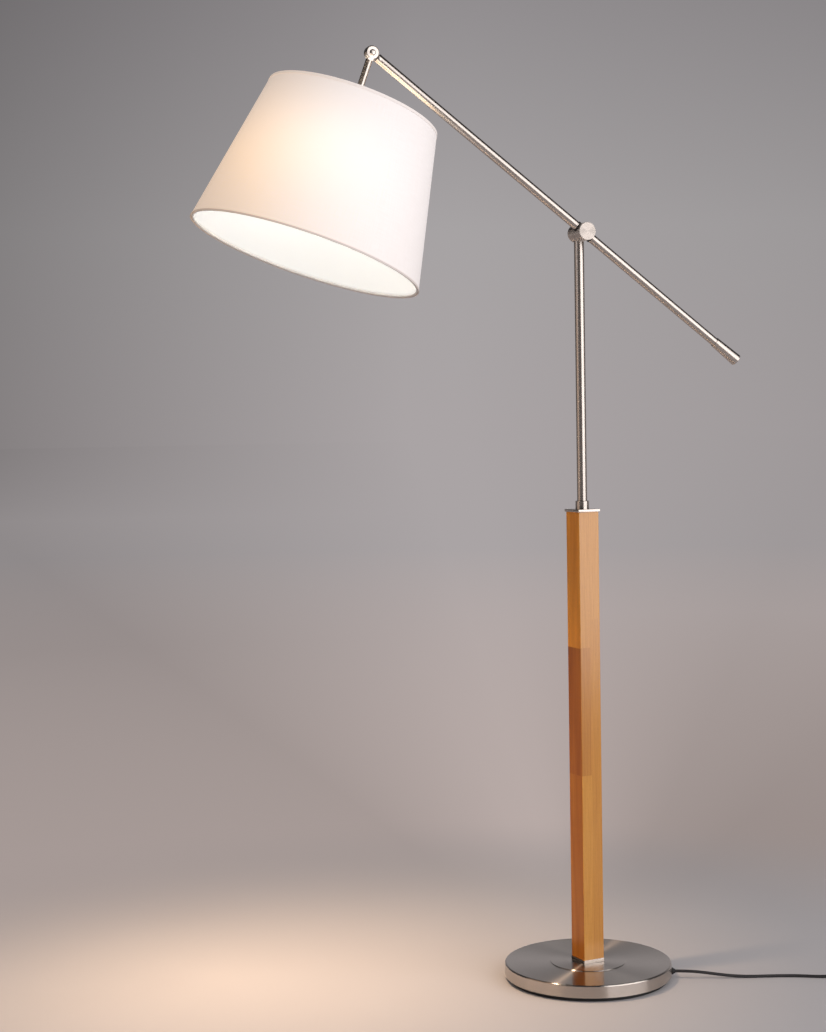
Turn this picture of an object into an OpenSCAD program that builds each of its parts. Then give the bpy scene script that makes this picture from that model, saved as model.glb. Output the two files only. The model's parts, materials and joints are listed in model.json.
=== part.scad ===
// Floor lamp: round weighted base, square wooden column, steel post and a tilting arm.
// The arm carries a tapered fabric shade on a short rod at one end and a small weight at the other.
// Millimetres, +Z up. The origin is at the base's centre, on the floor. The arm tilts in the XZ plane,
// with the shade towards -X and the weight towards +X. Both hinge axes run along Y.

/* [Base] */
// Outer diameter of the base
base_d = 300; // [260:2:340]
// Height of the base's flat top above the floor
base_h = 30; // [29:1:40]
// Thickness of the pressed steel cover
cover_t = 1.5; // [1:0.1:2]
// Radius of the cover's rounded edge
edge_r = 3; // [2.5:0.5:5]
// Diameter of the raised round middle of the cover
plateau_d = 136; // [110:2:180]
// Height of the raised middle
plateau_h = 1; // [0.6:0.1:1.4]
// Thickness of the rubber mat that the base stands on
foot_h = 8; // [6:0.5:8]
// Inset of the mat from the base's edge
foot_inset = 7.5; // [5:0.5:12]
// Thickness of the bottom plate
bottom_t = 2; // [1.5:0.1:2.2]
// How far the cover's edge reaches below the bottom plate
skirt_drop = 0.5; // [0.3:0.1:1]
// Gap round the cast weight, inside the cover
weight_gap = 1.5; // [1:0.1:3]
// Circle on which the three bottom screws lie
screw_circle_d = 150; // [110:2:220]
// Shank diameter of the bottom screws
screw_d = 4; // [3:0.5:5]
// Shank length of the bottom screws
screw_len = 9; // [6:0.5:11]
// Head diameter of the bottom screws
screw_head_d = 8; // [6.5:0.5:10]
// Head height of the bottom screws
screw_head_h = 2; // [1.5:0.1:3]

/* [Column] */
// Side of the square wooden column
column_w = 42; // [38:1:60]
// Length of the wooden column
column_len = 805; // [500:5:1100]
// Bevel on the column's long edges
column_bevel = 0.9; // [0.5:0.1:2]
// Turn of the column under the arm
column_turn = 8; // [-45:1:45]
// Side of the square steel foot under the column
foot_collar_w = 43; // [39:0.5:62]
// Height of the square steel foot
foot_collar_h = 7; // [4:0.5:20]
// Side of the steel plate on the column
top_plate_w = 46.5; // [42:0.5:66]
// Thickness of the plate on the column
top_plate_t = 4.5; // [3:0.5:8]
// Outer diameter of the threaded tube that ties the stand together
tie_d = 10; // [9:0.5:11]
// Bore of the threaded tube, for the cable
tie_bore_d = 7; // [6.4:0.1:7.4]
// Height of the nut under the weight
tie_nut_h = 4.5; // [3:0.5:5]
// Thickness of the washer on that nut
tie_washer_t = 1; // [0.8:0.1:1.5]
// How far the threaded tube starts above the bottom plate
tie_inset = 8; // [7:0.5:8.5]
// How far the threaded tube reaches into the post
tie_grip = 12; // [8:1:16]
// Length of the threaded insert in the post
insert_len = 20; // [17:1:30]
// Width of the nut across its flats
tie_nut_w = 15; // [14:0.5:18]

/* [Post] */
// Outer diameter of the steel post
post_d = 18; // [17:0.5:19]
// Wall of the steel post
post_wall = 1.2; // [0.8:0.1:1.5]
// Outer diameter of the collar round the foot of the post
collar_d = 24.4; // [22:0.2:30]
// Height of the collar
collar_h = 15; // [10:1:30]
// Floor of the collar, under the post
collar_floor = 3; // [2:0.5:4]
// Height of the tilting axis above the floor
pivot_z = 1337; // [1100:1:1700]

/* [Pivot drum] */
// Diameter of the drum
drum_d = 31.7; // [31:0.1:36]
// Distance from the post's axis to the drum's rear end
drum_rear = 14; // [12:0.5:20]
// Distance from the post's axis to the seam between the drum's halves
drum_seam = 10.4; // [10.2:0.1:12]
// Thickness of the friction washer in the seam
friction_t = 0.8; // [0.5:0.1:1.5]
// Distance from the seam to the arm's axis
seam_to_arm = 10.6; // [10.4:0.1:14]
// Distance from the arm's axis to the drum's front end
arm_to_front = 16; // [15.4:0.1:20]
// Thickness of the drum's end cap
drum_cap_t = 3; // [2:0.1:3.2]
// Shank diameter of the pivot bolt
pivot_bolt_d = 6; // [5:0.5:6.5]
// Head diameter of the pivot bolt
pivot_head_d = 10; // [9:0.5:12]
// Head height of the pivot bolt
pivot_head_h = 2.2; // [1.6:0.1:2.4]
// Thickness of the spring washer under the head
spring_washer_t = 0.6; // [0.4:0.1:0.8]
// How far the post's end stays below the pivot axis
post_stop = 4.5; // [4:0.1:6]

/* [Arm] */
// Angle of the arm above the horizontal, at rest
arm_tilt = 37; // [20:1:50]
// Outer diameter of the arm
arm_d = 16; // [14:0.5:16]
// Wall of the arm
arm_wall = 1.2; // [0.8:0.1:1.5]
// Distance from the pivot to the head's hinge
arm_head_len = 486; // [350:2:650]
// Distance from the pivot to the start of the weight
arm_tail_len = 322; // [220:2:450]
// How far the arm's end goes into the weight
tail_depth = 20; // [12:1:30]
// Small diameter of the weight
weight_d1 = 18.4; // [17.6:0.2:24]
// Large diameter of the weight
weight_d2 = 22; // [19:0.2:30]
// Length of the weight
weight_len = 55; // [40:1:90]
// Wall of the bushes where the arm enters the drum
bush_wall = 1.2; // [0.8:0.1:1.5]
// How far the bushes stand out of the drum
bush_out = 1.6; // [1:0.1:3]
// How far the bushes reach into the drum
bush_in = 4; // [3:0.1:5]
// Diameter of the screw that clamps the arm in the drum
grub_d = 4; // [3:0.5:5]
// Diameter of the stud that holds the weight
tail_stud_d = 6; // [4:0.5:8]
// Length of the stud on each side of the arm's end
tail_grip = 12; // [8:1:16]
// Length of the plug in the arm's end
tail_plug_len = 14; // [12:1:20]

/* [Head hinge] */
// Diameter of the hinge's two discs
knuckle_d = 24; // [20:1:25]
// Width of the hinge, both discs together
knuckle_w = 14; // [11:0.5:15.5]
// Gap between the discs, filled by a washer
knuckle_gap = 0.5; // [0.4:0.1:0.8]
// Rounding of the discs' outer edge
knuckle_r = 2.5; // [1.5:0.1:3]
// Length of the stem between disc and tube
stem_len = 6; // [4:0.5:9]
// Length of the stem's plug inside its tube
plug_len = 14; // [10:1:25]
// Shank diameter of the hinge screw
knuckle_screw_d = 5; // [4:0.5:6]
// Head diameter of the hinge screw
knuckle_head_d = 11; // [9:0.5:14]

/* [Head] */
// Angle of the rod from the vertical, at rest
head_tilt = 20; // [5:1:40]
// Outer diameter of the rod
rod_d = 12; // [11:0.5:13]
// Wall of the rod
rod_wall = 1; // [0.8:0.1:1.4]
// Distance from the hinge to the top of the shade
shade_drop = 99; // [80:1:140]
// How far the rod reaches below the top of the shade
rod_inside = 12; // [8:1:16]
// How far the threaded nipple reaches into the rod
nipple_grip = 12; // [8:1:14]
// How far the nipple reaches into the lampholder
nipple_out = 6; // [4:0.5:8]
// How far the rod's end sits in the lampholder's cap
rod_seat = 3; // [2:0.5:3.5]

/* [Lampholder and bulb] */
// Diameter of the lampholder's body
holder_d = 39; // [37:0.5:41]
// Height of the lampholder's domed cap
holder_cap_h = 20; // [16:1:24]
// Length of the lampholder's body
holder_len = 38; // [34:1:44]
// Wall of the lampholder's body
holder_wall = 2.4; // [1.8:0.1:3]
// Diameter of the bulb's screw cap
bulb_cap_d = 26.2; // [25:0.2:27]
// Length of the bulb's screw cap
bulb_cap_len = 24; // [21:1:26]
// Diameter of the bulb
bulb_d = 60; // [50:1:80]
// Length of the bulb below its cap
bulb_len = 84; // [76:1:110]
// Wall of the bulb's glass
glass_t = 1; // [0.6:0.1:1.6]
// Outer diameter of the shade rings on the holder
shade_ring_d = 54; // [50:1:60]
// Height of each shade ring
shade_ring_h = 4; // [3:0.5:6]

/* [Shade] */
// Outer diameter of the shade's top
shade_top_d = 295; // [240:1:320]
// Outer diameter of the shade's bottom
shade_bottom_d = 400; // [330:1:460]
// Height of the shade
shade_h = 264; // [210:1:320]
// Thickness of the fabric
fabric_t = 1; // [0.8:0.1:1.4]
// Thickness of the stiff liner
liner_t = 0.5; // [0.4:0.1:0.8]
// Diameter of the ring wires
wire_d = 3.4; // [3:0.1:4.5]
// Diameter of the three spokes
spoke_d = 4; // [3:0.1:5]
// Depth of the fitter ring below the top of the shade
fitter_depth = 36; // [26:1:38]
// Thickness of the fitter ring
fitter_t = 1.6; // [1.2:0.1:2.5]
// Outer diameter of the fitter ring
fitter_d = 62; // [58:1:70]
// Height of the trim bands
trim_h = 5; // [4:0.5:9]
// Thickness of the trim bands
trim_t = 0.6; // [0.4:0.1:1]

/* [Cord] */
// Diameter of the mains cord
cord_d = 5.4; // [5:0.1:5.6]
// Diameter of the inner cable
cable_d = 5; // [4.4:0.1:5.4]
// Bend radius of the inner cable in the base
cable_bend = 8; // [7.5:0.1:9]
// Diameter of the flange on the cord's bush
bush_flange_d = 12.4; // [11:0.1:12.8]
// Neck of the bush, through the cover
bush_neck_d = 9; // [8:0.1:9.6]
// How far the bush stands out of the base
bush_stand = 6; // [4:0.5:8]
// Length of the bush inside the base
bush_inside = 20; // [14:1:30]
// Direction in which the cord leaves the base
cord_turn = -25; // [-60:1:60]
// Smallest radius of the coil's turns
coil_r = 23.4; // [22:0.1:26]
// Turns in the coil
coil_turns = 6; // [4:1:8]
// Step from turn to turn
coil_step = 6; // [5.9:0.1:7]
// Step from layer to layer
coil_layer = 5.9; // [5.9:0.1:7]
// Width of the tie round the coil
tie_w = 10; // [6:1:16]
// Thickness of the tie
tie_t = 0.8; // [0.5:0.1:0.9]

/* [Foot switch] */
// Length of the switch's housing
switch_len = 62; // [56:1:80]
// Width of the switch's housing
switch_w = 32; // [30:1:40]
// Height of the lower shell
switch_low_h = 8; // [7.5:0.5:10]
// Height of the upper shell
switch_up_h = 11; // [10:0.5:14]
// Wall of the shells
switch_wall = 1.8; // [1.4:0.1:2.2]
// Corner radius of the shells
switch_corner = 9; // [5:0.5:12]
// Rounding of the upper shell's top edges
switch_round = 3.5; // [2:0.5:4]
// Diameter of the button
button_d = 20; // [16:0.5:22]
// How far the button stands out while it is pressed
button_pressed = 1.5; // [1:0.5:2.5]
// Travel of the button
button_travel = 3; // [2:0.5:3.5]
// Length of the strain reliefs
relief_len = 20; // [20:1:30]
// Diameter of the strain reliefs at the housing
relief_d = 9.4; // [8:0.2:11]

/* [Plug] */
// Width of the plug
plug_w = 35; // [33:0.5:38]
// Thickness of the plug
plug_t = 13.7; // [12:0.1:15]
// Length of the plug's body
plug_body_len = 36; // [32:1:42]
// Diameter of the pins
pin_d = 4; // [3.6:0.1:4.8]
// Distance between the pins
pin_gap = 19; // [17:0.5:20]
// Length of the pins
pin_len = 19; // [17:0.5:22]

/* [Fits] */
// Radial clearance where a shaft turns in a hole
run_fit = 0.05; // [0.02:0.01:0.09]
// Radial clearance where pieces are only slipped together
slip_fit = 0.05; // [0.03:0.01:0.1]
// Clear space round pieces that pass through a larger hole
pass_gap = 0.3; // [0.25:0.05:0.5]

/* [Hidden] */
$fn = 96;
eps = 0.01;

// Heights in the stand, from the floor up
cover_low = foot_h - skirt_drop;
weight_low = foot_h + bottom_t;
weight_top = base_h - cover_t;
weight_r = base_d / 2 - cover_t - weight_gap;
deck_z = base_h + plateau_h;
column_low = deck_z + foot_collar_h;
column_top = column_low + column_len;
plate_top = column_top + top_plate_t;
post_low = plate_top + collar_floor;
post_top = pivot_z - post_stop;
post_bore_r = post_d / 2 - post_wall;
tie_low = weight_low + tie_inset;
tie_top = post_low + tie_grip;
nut_pocket_h = tie_inset + 1 + tie_nut_h + tie_washer_t;
nut_pocket_r = tie_nut_w;
washer_low = tie_low + 1 + tie_nut_h;

// Places along the pivot axis, from the post's axis towards the front
arm_y = -(drum_seam + seam_to_arm);
front_seam_y = -(drum_seam + friction_t);
front_y = arm_y - arm_to_front;
cap_y = front_y + drum_cap_t;
head_seat_y = cap_y + pivot_head_h + spring_washer_t + pass_gap;
arm_bore_r = arm_d / 2 - arm_wall;
arm_low_end = -arm_head_len + knuckle_d / 2 + 0.8 + stem_len;
arm_high_end = arm_tail_len + tail_depth;

// The head's hinge, in the row frame
knuckle_x = -arm_head_len * cos(arm_tilt);
knuckle_z = pivot_z + arm_head_len * sin(arm_tilt);
stem_start = knuckle_d / 2 + 0.8;
rod_bore_r = rod_d / 2 - rod_wall;

// Distances down the rod, from the head's hinge
rod_low = shade_drop + rod_inside;
nipple_r = rod_bore_r - slip_fit;
holder_top = rod_low - rod_seat;
body_top = holder_top + holder_cap_h;
body_low = body_top + holder_len;
fitter_s = shade_drop + fitter_depth;
shade_low = shade_drop + shade_h;
bulb_top = body_low - 8 - bulb_cap_len + 4;
bulb_neck = bulb_top + bulb_cap_len;
rod_cable_top = stem_start + stem_len + plug_len + 1;

// Cord and coil, in a frame turned to the cord's side of the base, where x runs away from the base
route_out = [
    [156, 0, 13], [161.4, 0, 13], [172, 0, 13], [184, 0, 12.7], [197, 0.3, 11.8],
    [211, 0.9, 10.2], [227, 1.7, 8.1], [244, 2.7, 6], [261, 4, 4.3], [278, 5.6, 3.2], [295, 7.4, 2.7],
    [313, 9.6, 2.7], [331, 11.8, 2.7], [350, 13.4, 2.7], [369, 14, 2.7], [388, 13.2, 2.7],
    [405, 11.6, 2.7], [421, 10.3, 3.2], [436, 10, 4.6], [448, 10, 6], [454.6, 10, 6.5], [460, 10, 6.5]
];
route_link = [
    [562, 10, 6.5], [567.4, 10, 6.5], [575, 11.4, 6.3], [583, 15.7, 5.7], [588.5, 22.4, 4.9],
    [591.2, 31, 4.1], [592, 42, 3.7], [592, 54, 3.6], [592, 66, 3.6], [592, 74.6, 3.6]
];
route_tail = [
    [592, 85.4, 9.5], [592, 90.8, 9.5], [592, 99, 9.1], [592, 108, 8.2], [592, 116, 7.4],
    [592, 122.6, 6.85], [592, 128, 6.85]
];
cord_sides = 10;
coil_sides = 6;
coil_rings = 24;
coil_low_z = route_link[len(route_link) - 1][2];
coil_outer = coil_r + coil_step * coil_turns / 2;
coil_x = route_link[len(route_link) - 1][0] - coil_outer;
coil_y = route_link[len(route_link) - 1][1] + cord_d;
switch_x = (route_out[len(route_out) - 1][0] + route_link[0][0]) / 2;
switch_y = route_link[0][1];
switch_z = route_link[0][2];
switch_top = switch_low_h + switch_up_h;
button_out = button_pressed + button_travel;
button_low = switch_top - switch_wall - 2 - pass_gap;
exit_z = route_out[0][2];
plug_x = route_tail[0][0];
plug_y = route_tail[len(route_tail) - 1][1];
steel = "#b9b5b0";
dark = "#2a2a2c";

// Points along an arc in a profile
function arc(c, r, from, to, n) = [for (i = [0:n])
    let (a = from + (to - from) * i / n) c + r * [cos(a), sin(a)]];
function unit(v) = v / norm(v);
function shade_r(s) = (shade_top_d + (shade_bottom_d - shade_top_d) * (s - shade_drop) / shade_h) / 2;
function ease(x) = x <= 0 ? 0 : x >= 1 ? 1 : x * x * (3 - 2 * x);
// Direction of a route at one of its points
function along(p, i) = unit(p[min(i + 1, len(p) - 1)] - p[max(i - 1, 0)]);
// One ring of a round tube, square to the route
function ring(c, t, r, sides) = let (s = unit(cross(t, [0, 0, 1])), u = cross(s, t))
    [for (k = [0:sides - 1]) c + r * (cos(360 * (k + 0.5) / sides) * s + sin(360 * (k + 0.5) / sides) * u)];
// The coil winds in, climbs one layer in the half turn where it reverses, and winds out again
function coil_radius(t) = coil_r + coil_step * sqrt(pow(t - coil_turns / 2, 2) + 0.002);
function coil_height(t) = coil_low_z + coil_layer * ease((t - coil_turns / 2 + 0.25) / 0.5);
function coil_point(t) = let (r = coil_radius(t))
    [coil_x + r * cos(360 * t), coil_y + r * sin(360 * t), coil_height(t)];
coil_path = concat(
    [coil_point(0) - [0, cord_d, 0]],
    [for (i = [0:coil_turns * coil_rings]) coil_point(i / coil_rings)],
    [coil_point(coil_turns) + [0, cord_d, 0]]
);
coil_gap = min([
    for (i = [0:len(coil_path) - 1])
    for (j = [i + coil_rings / 2:len(coil_path) - 1])
    if (j < len(coil_path)) norm(coil_path[i] - coil_path[j])
]) - cord_d;
echo(str("least gap between the coil's turns: ", coil_gap, " mm"));

// Basic shapes
module tube(r, bore, low, high) {
    translate([0, 0, low]) difference() {
        cylinder(r = r, h = high - low);
        translate([0, 0, -eps]) cylinder(r = bore, h = high - low + 2 * eps);
    }
}
module square_bar(w, bevel, low, high) {
    h = w / 2;
    k = h - bevel;
    translate([0, 0, low]) linear_extrude(high - low)
        polygon([[k, -h], [h, -k], [h, k], [k, h], [-k, h], [-h, k], [-h, -k], [-k, -h]]);
}
module bar_x(r, from, to) {
    translate([from, 0, 0]) rotate([0, 90, 0]) cylinder(r = r, h = to - from);
}
module bar_y(r, from, to) {
    translate([0, from, 0]) rotate([-90, 0, 0]) cylinder(r = r, h = to - from);
}
module rounded(length, width, r) {
    a = length / 2 - r;
    b = width / 2 - r;
    polygon(concat(arc([a, b], r, 0, 90, 8), arc([-a, b], r, 90, 180, 8),
        arc([-a, -b], r, 180, 270, 8), arc([a, -b], r, 270, 360, 8)));
}
module swept(path, r, sides) {
    n = len(path);
    points = [for (i = [0:n - 1]) each ring(path[i], along(path, i), r, sides)];
    sides_of = [for (i = [0:n - 2]) for (k = [0:sides - 1])
        let (a = i * sides + k, b = i * sides + (k + 1) % sides)
        each [[a, b, a + sides], [b, b + sides, a + sides]]];
    first = [for (k = [1:sides - 2]) [0, k + 1, k]];
    last = [for (k = [1:sides - 2]) [(n - 1) * sides, (n - 1) * sides + k, (n - 1) * sides + k + 1]];
    polyhedron(points = points, faces = concat(sides_of, first, last));
}
module ring_wire(centre_r, s, r) {
    translate([0, 0, s]) rotate_extrude() translate([centre_r, 0]) circle(r = r, $fn = 24);
}

// Frames: x of the arm runs from the pivot to the weight, z of the head runs down the rod
module stand_frame() rotate([0, 0, column_turn]) children();
module arm_frame() translate([0, arm_y, pivot_z]) rotate([0, arm_tilt, 0]) children();
module head_frame() translate([knuckle_x, arm_y, knuckle_z]) rotate([0, head_tilt + 180, 0]) children();
module cord_frame() rotate([0, 0, cord_turn]) children();

// Base
module foot_mat() color(dark) difference() {
    cylinder(r = base_d / 2 - foot_inset, h = foot_h);
    screw_places() translate([0, 0, foot_h - screw_head_h - pass_gap])
        cylinder(d = screw_head_d + 2 * pass_gap, h = foot_h);
}

module bottom_plate() color(dark) difference() {
    translate([0, 0, foot_h]) cylinder(r = base_d / 2 - cover_t - pass_gap, h = bottom_t);
    screw_places() translate([0, 0, foot_h - 1]) cylinder(d = screw_d + 2 * slip_fit, h = bottom_t + 2);
    bush_pocket(foot_h - 1);
}

module screw_places() for (a = [90, 210, 330])
    rotate([0, 0, a]) translate([screw_circle_d / 2, 0, 0]) children();

module bottom_screws() color(steel) screw_places() {
    translate([0, 0, foot_h - screw_head_h]) cylinder(d = screw_head_d, h = screw_head_h);
    translate([0, 0, foot_h - 0.5]) cylinder(d = screw_d, h = screw_len + 0.5);
}

// Room for the cord's bush, seen from the base's centre
module bush_pocket(low) cord_frame()
    translate([base_d / 2 - cover_t - bush_inside - 2, -bush_flange_d / 2 - 0.5, low])
        cube([bush_inside + 8, bush_flange_d + 1, exit_z + bush_flange_d / 2 + 0.5 - low]);

module base_weight() color("#4a4a4d") difference() {
    union() {
        translate([0, 0, weight_low]) cylinder(r = weight_r, h = weight_top - edge_r - weight_low);
        translate([0, 0, weight_top - edge_r]) cylinder(r1 = weight_r, r2 = weight_r - edge_r, h = edge_r);
    }
    translate([0, 0, weight_low - 1]) cylinder(d = tie_d + 2 * slip_fit, h = weight_top);
    translate([0, 0, weight_low - 1]) cylinder(r = nut_pocket_r, h = nut_pocket_h + 1);
    screw_places() translate([0, 0, weight_low - 1]) cylinder(d = screw_d + 2 * slip_fit, h = screw_len + 1);
    cord_frame() translate([0, -cable_d / 2 - 1.5, weight_low - 1])
        cube([weight_r, cable_d + 3, exit_z + cable_d / 2 + 2 - weight_low]);
    bush_pocket(weight_low - 1);
}

module base_cover() color(steel) difference() {
    rotate_extrude() polygon(concat(
        [[tie_d / 2 + slip_fit, deck_z]],
        [[plateau_d / 2 - plateau_h, deck_z], [plateau_d / 2, base_h]],
        [for (p = arc([base_d / 2 - edge_r, base_h - edge_r], edge_r, 90, 0, 8)) p],
        [[base_d / 2, cover_low], [base_d / 2 - cover_t, cover_low]],
        [for (p = arc([base_d / 2 - edge_r, base_h - edge_r], edge_r - cover_t, 0, 90, 6)) p],
        [[plateau_d / 2 + cover_t / 2, base_h - cover_t]],
        [[plateau_d / 2 - plateau_h + cover_t / 2, deck_z - cover_t]],
        [[tie_d / 2 + slip_fit, deck_z - cover_t]]
    ));
    cord_frame() translate([base_d / 2 - 10, 0, exit_z]) rotate([0, 90, 0])
        cylinder(d = bush_neck_d + 2 * slip_fit, h = 20);
}

// Column and post
module tie_tube() color(steel) tube(tie_d / 2, tie_bore_d / 2, tie_low, tie_top);

module tie_nut() color(steel) difference() {
    translate([0, 0, tie_low + 1]) cylinder(d = tie_nut_w / cos(30), h = tie_nut_h, $fn = 6);
    translate([0, 0, tie_low]) cylinder(d = tie_d + 2 * slip_fit, h = tie_nut_h + 2);
}

module tie_washer() color(steel)
    tube(nut_pocket_r - 2, tie_d / 2 + slip_fit, washer_low, washer_low + tie_washer_t);

module foot_collar() color(steel) stand_frame() difference() {
    square_bar(foot_collar_w, 0.6, deck_z, column_low);
    translate([0, 0, deck_z - 1]) cylinder(d = tie_d + 2 * slip_fit, h = foot_collar_h + 2);
}

module wood_column() color("#c08a4c") stand_frame() difference() {
    square_bar(column_w, column_bevel, column_low, column_top);
    translate([0, 0, column_low - 1]) cylinder(d = tie_d + 2, h = column_len + 2);
}

module top_plate() color(steel) stand_frame() difference() {
    square_bar(top_plate_w, 0.8, column_top, plate_top);
    translate([0, 0, column_top - 1]) cylinder(d = tie_d + 2 * slip_fit, h = top_plate_t + 2);
}

module post_collar() color(steel) difference() {
    union() {
        translate([0, 0, plate_top]) cylinder(d = collar_d, h = collar_h - 0.8);
        translate([0, 0, plate_top + collar_h - 0.8]) cylinder(d1 = collar_d, d2 = collar_d - 1.6, h = 0.8);
    }
    translate([0, 0, post_low]) cylinder(d = post_d + 2 * slip_fit, h = collar_h);
    translate([0, 0, plate_top - 1]) cylinder(d = tie_d + 2 * slip_fit, h = collar_h);
}

module post_insert() color("#a89a6a")
    tube(post_bore_r - slip_fit, tie_d / 2 + slip_fit, post_low, post_low + insert_len);

module post_tube() color(steel) tube(post_d / 2, post_bore_r, post_low, post_top);

// Pivot
module drum_edge(from, to, bevel_from, bevel_to) {
    rotate([-90, 0, 0]) rotate_extrude() polygon([
        [0, from], [drum_d / 2 - bevel_from, from], [drum_d / 2, from + bevel_from],
        [drum_d / 2, to - bevel_to], [drum_d / 2 - bevel_to, to], [0, to]
    ]);
}

module drum_rear_half() color(steel) difference() {
    translate([0, 0, pivot_z]) drum_edge(-drum_seam, drum_rear, 0.3, 0.8);
    translate([0, 0, pivot_z - drum_d]) cylinder(d = post_d + 2 * slip_fit, h = drum_d - post_stop);
    translate([0, 0, pivot_z]) bar_y(pivot_bolt_d / 2 + slip_fit, -drum_seam - 1, post_d / 2);
}

module pivot_bolt() color(steel) translate([0, 0, pivot_z]) {
    bar_y(pivot_bolt_d / 2, head_seat_y - spring_washer_t - 1, post_d / 2 - 1);
    bar_y(pivot_head_d / 2, head_seat_y - spring_washer_t - pivot_head_h, head_seat_y - spring_washer_t);
}

module spring_washer() color(steel) translate([0, 0, pivot_z]) difference() {
    bar_y(pivot_head_d / 2 + 0.6, head_seat_y - spring_washer_t, head_seat_y);
    bar_y(pivot_bolt_d / 2 + slip_fit, head_seat_y - 2, head_seat_y + 1);
}

module drum_front_half() color(steel) arm_frame() translate([0, -arm_y, 0]) difference() {
    drum_edge(cap_y, front_seam_y, 0.2, 0.3);
    translate([0, arm_y, 0]) bar_x(arm_d / 2 + slip_fit, -drum_d, drum_d);
    for (side = [-1, 1])
        translate([side * (drum_d / 2 - bush_in), arm_y, 0]) rotate([0, side * 90, 0])
            cylinder(r = arm_d / 2 + bush_wall + slip_fit, h = drum_d);
    bar_y(pivot_bolt_d / 2 + run_fit, cap_y - 1, front_seam_y + 1);
    bar_y(pivot_head_d / 2 + 1.2, cap_y - 1, head_seat_y);
    translate([0, arm_y, -drum_d]) cylinder(d = grub_d + 2 * slip_fit, h = drum_d);
}

module drum_end_cap() color(steel) arm_frame() translate([0, -arm_y, 0])
    drum_edge(front_y, cap_y, 0.8, 0.2);

module friction_washer() color(dark) arm_frame() translate([0, -arm_y, 0]) difference() {
    bar_y(drum_d / 2 - 1.2, front_seam_y, -drum_seam);
    bar_y(pivot_bolt_d / 2 + run_fit, front_seam_y - 1, -drum_seam + 1);
}

// Arm
module arm_tube() color(steel) arm_frame() difference() {
    bar_x(arm_d / 2, arm_low_end, arm_high_end);
    bar_x(arm_bore_r, arm_low_end - 1, arm_high_end + 1);
    bar_y(pivot_bolt_d / 2 + pass_gap, -arm_d, arm_d);
}

module arm_bushes() color(dark) arm_frame() for (side = [-1, 1])
    translate([side * (drum_d / 2 - bush_in), 0, 0]) rotate([0, side * 90, 0])
        tube(arm_d / 2 + bush_wall, arm_d / 2 + slip_fit, 0, bush_in + bush_out);

module arm_grub_screw() color(dark) arm_frame() translate([0, 0, -drum_d / 2 + 1]) difference() {
    cylinder(d = grub_d, h = drum_d / 2 - 1 - arm_d / 2 - slip_fit);
    translate([0, 0, -1]) cylinder(d = grub_d * 0.55, h = 3, $fn = 6);
}

module arm_cable() color("#e6e2da") arm_frame()
    translate([0, 0, -(arm_bore_r - cable_d / 2 - slip_fit)])
        bar_x(cable_d / 2, arm_low_end + plug_len + 1, -pivot_bolt_d);

module tail_plug() color("#a89a6a") arm_frame() difference() {
    bar_x(arm_bore_r - slip_fit, arm_high_end - tail_plug_len, arm_high_end);
    bar_x(tail_stud_d / 2 + slip_fit, arm_high_end - tail_plug_len - 1, arm_high_end + 1);
}

module tail_stud() color(steel) arm_frame()
    bar_x(tail_stud_d / 2, arm_high_end - tail_grip, arm_high_end + tail_grip);

module tail_weight() color(steel) arm_frame() difference() {
    translate([arm_tail_len, 0, 0]) rotate([0, 90, 0]) rotate_extrude() polygon([
        [0, 0], [weight_d1 / 2 - 0.4, 0], [weight_d1 / 2, 0.4],
        [weight_d2 / 2, weight_len - 0.8], [weight_d2 / 2 - 0.8, weight_len], [0, weight_len]
    ]);
    bar_x(arm_d / 2 + slip_fit, arm_tail_len - 1, arm_high_end);
    bar_x(tail_stud_d / 2 + slip_fit, arm_high_end - 1, arm_high_end + tail_grip + 1);
}

// Head hinge: half a knuckle, its disc on the side of +y and its stem along +z
module half_knuckle(stem_r, plug_r) {
    half = knuckle_w / 2;
    difference() {
        union() {
            rotate([-90, 0, 0]) rotate_extrude() polygon(concat(
                [[0, knuckle_gap / 2], [knuckle_d / 2, knuckle_gap / 2]],
                arc([knuckle_d / 2 - knuckle_r, half - knuckle_r], knuckle_r, 0, 90, 6),
                [[0, half]]
            ));
            translate([-stem_r * 0.8, knuckle_gap / 2, 0])
                cube([stem_r * 1.6, half - knuckle_gap, stem_start + 1]);
        }
        bar_y(knuckle_screw_d / 2 + run_fit, -1, half + 1);
    }
    translate([0, 0, stem_start]) cylinder(r = stem_r, h = stem_len);
    translate([0, 0, stem_start + stem_len - eps]) cylinder(r = plug_r, h = plug_len);
}

module arm_knuckle() color(steel) arm_frame() translate([-arm_head_len, 0, 0]) rotate([0, 90, 0])
    half_knuckle(arm_d / 2, arm_bore_r - slip_fit);

module rod_knuckle() color(steel) head_frame() mirror([0, 1, 0])
    half_knuckle(rod_d / 2, rod_bore_r - slip_fit);

module knuckle_washer() color(dark) arm_frame() translate([-arm_head_len, 0, 0]) difference() {
    bar_y(knuckle_d / 2 - 2, -knuckle_gap / 2, knuckle_gap / 2);
    bar_y(knuckle_screw_d / 2 + slip_fit, -1, 1);
}

module knuckle_screw() color(steel) arm_frame() translate([-arm_head_len, 0, 0]) {
    bar_y(knuckle_screw_d / 2, -knuckle_w / 2 - 0.5, knuckle_w / 2 + 2.5);
    translate([0, -knuckle_w / 2, 0]) rotate([90, 0, 0]) rotate_extrude() polygon(concat(
        [[0, 0]], arc([0, 0], knuckle_head_d / 2, 0, 90, 8)
    ) * [[1, 0], [0, 0.45]]);
}

module knuckle_nut() color(steel) arm_frame() translate([-arm_head_len, 0, 0]) difference() {
    translate([0, knuckle_w / 2, 0]) rotate([-90, 0, 0]) cylinder(d = knuckle_head_d * 0.9, h = 3, $fn = 6);
    bar_y(knuckle_screw_d / 2 + slip_fit, 0, knuckle_w);
}

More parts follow.
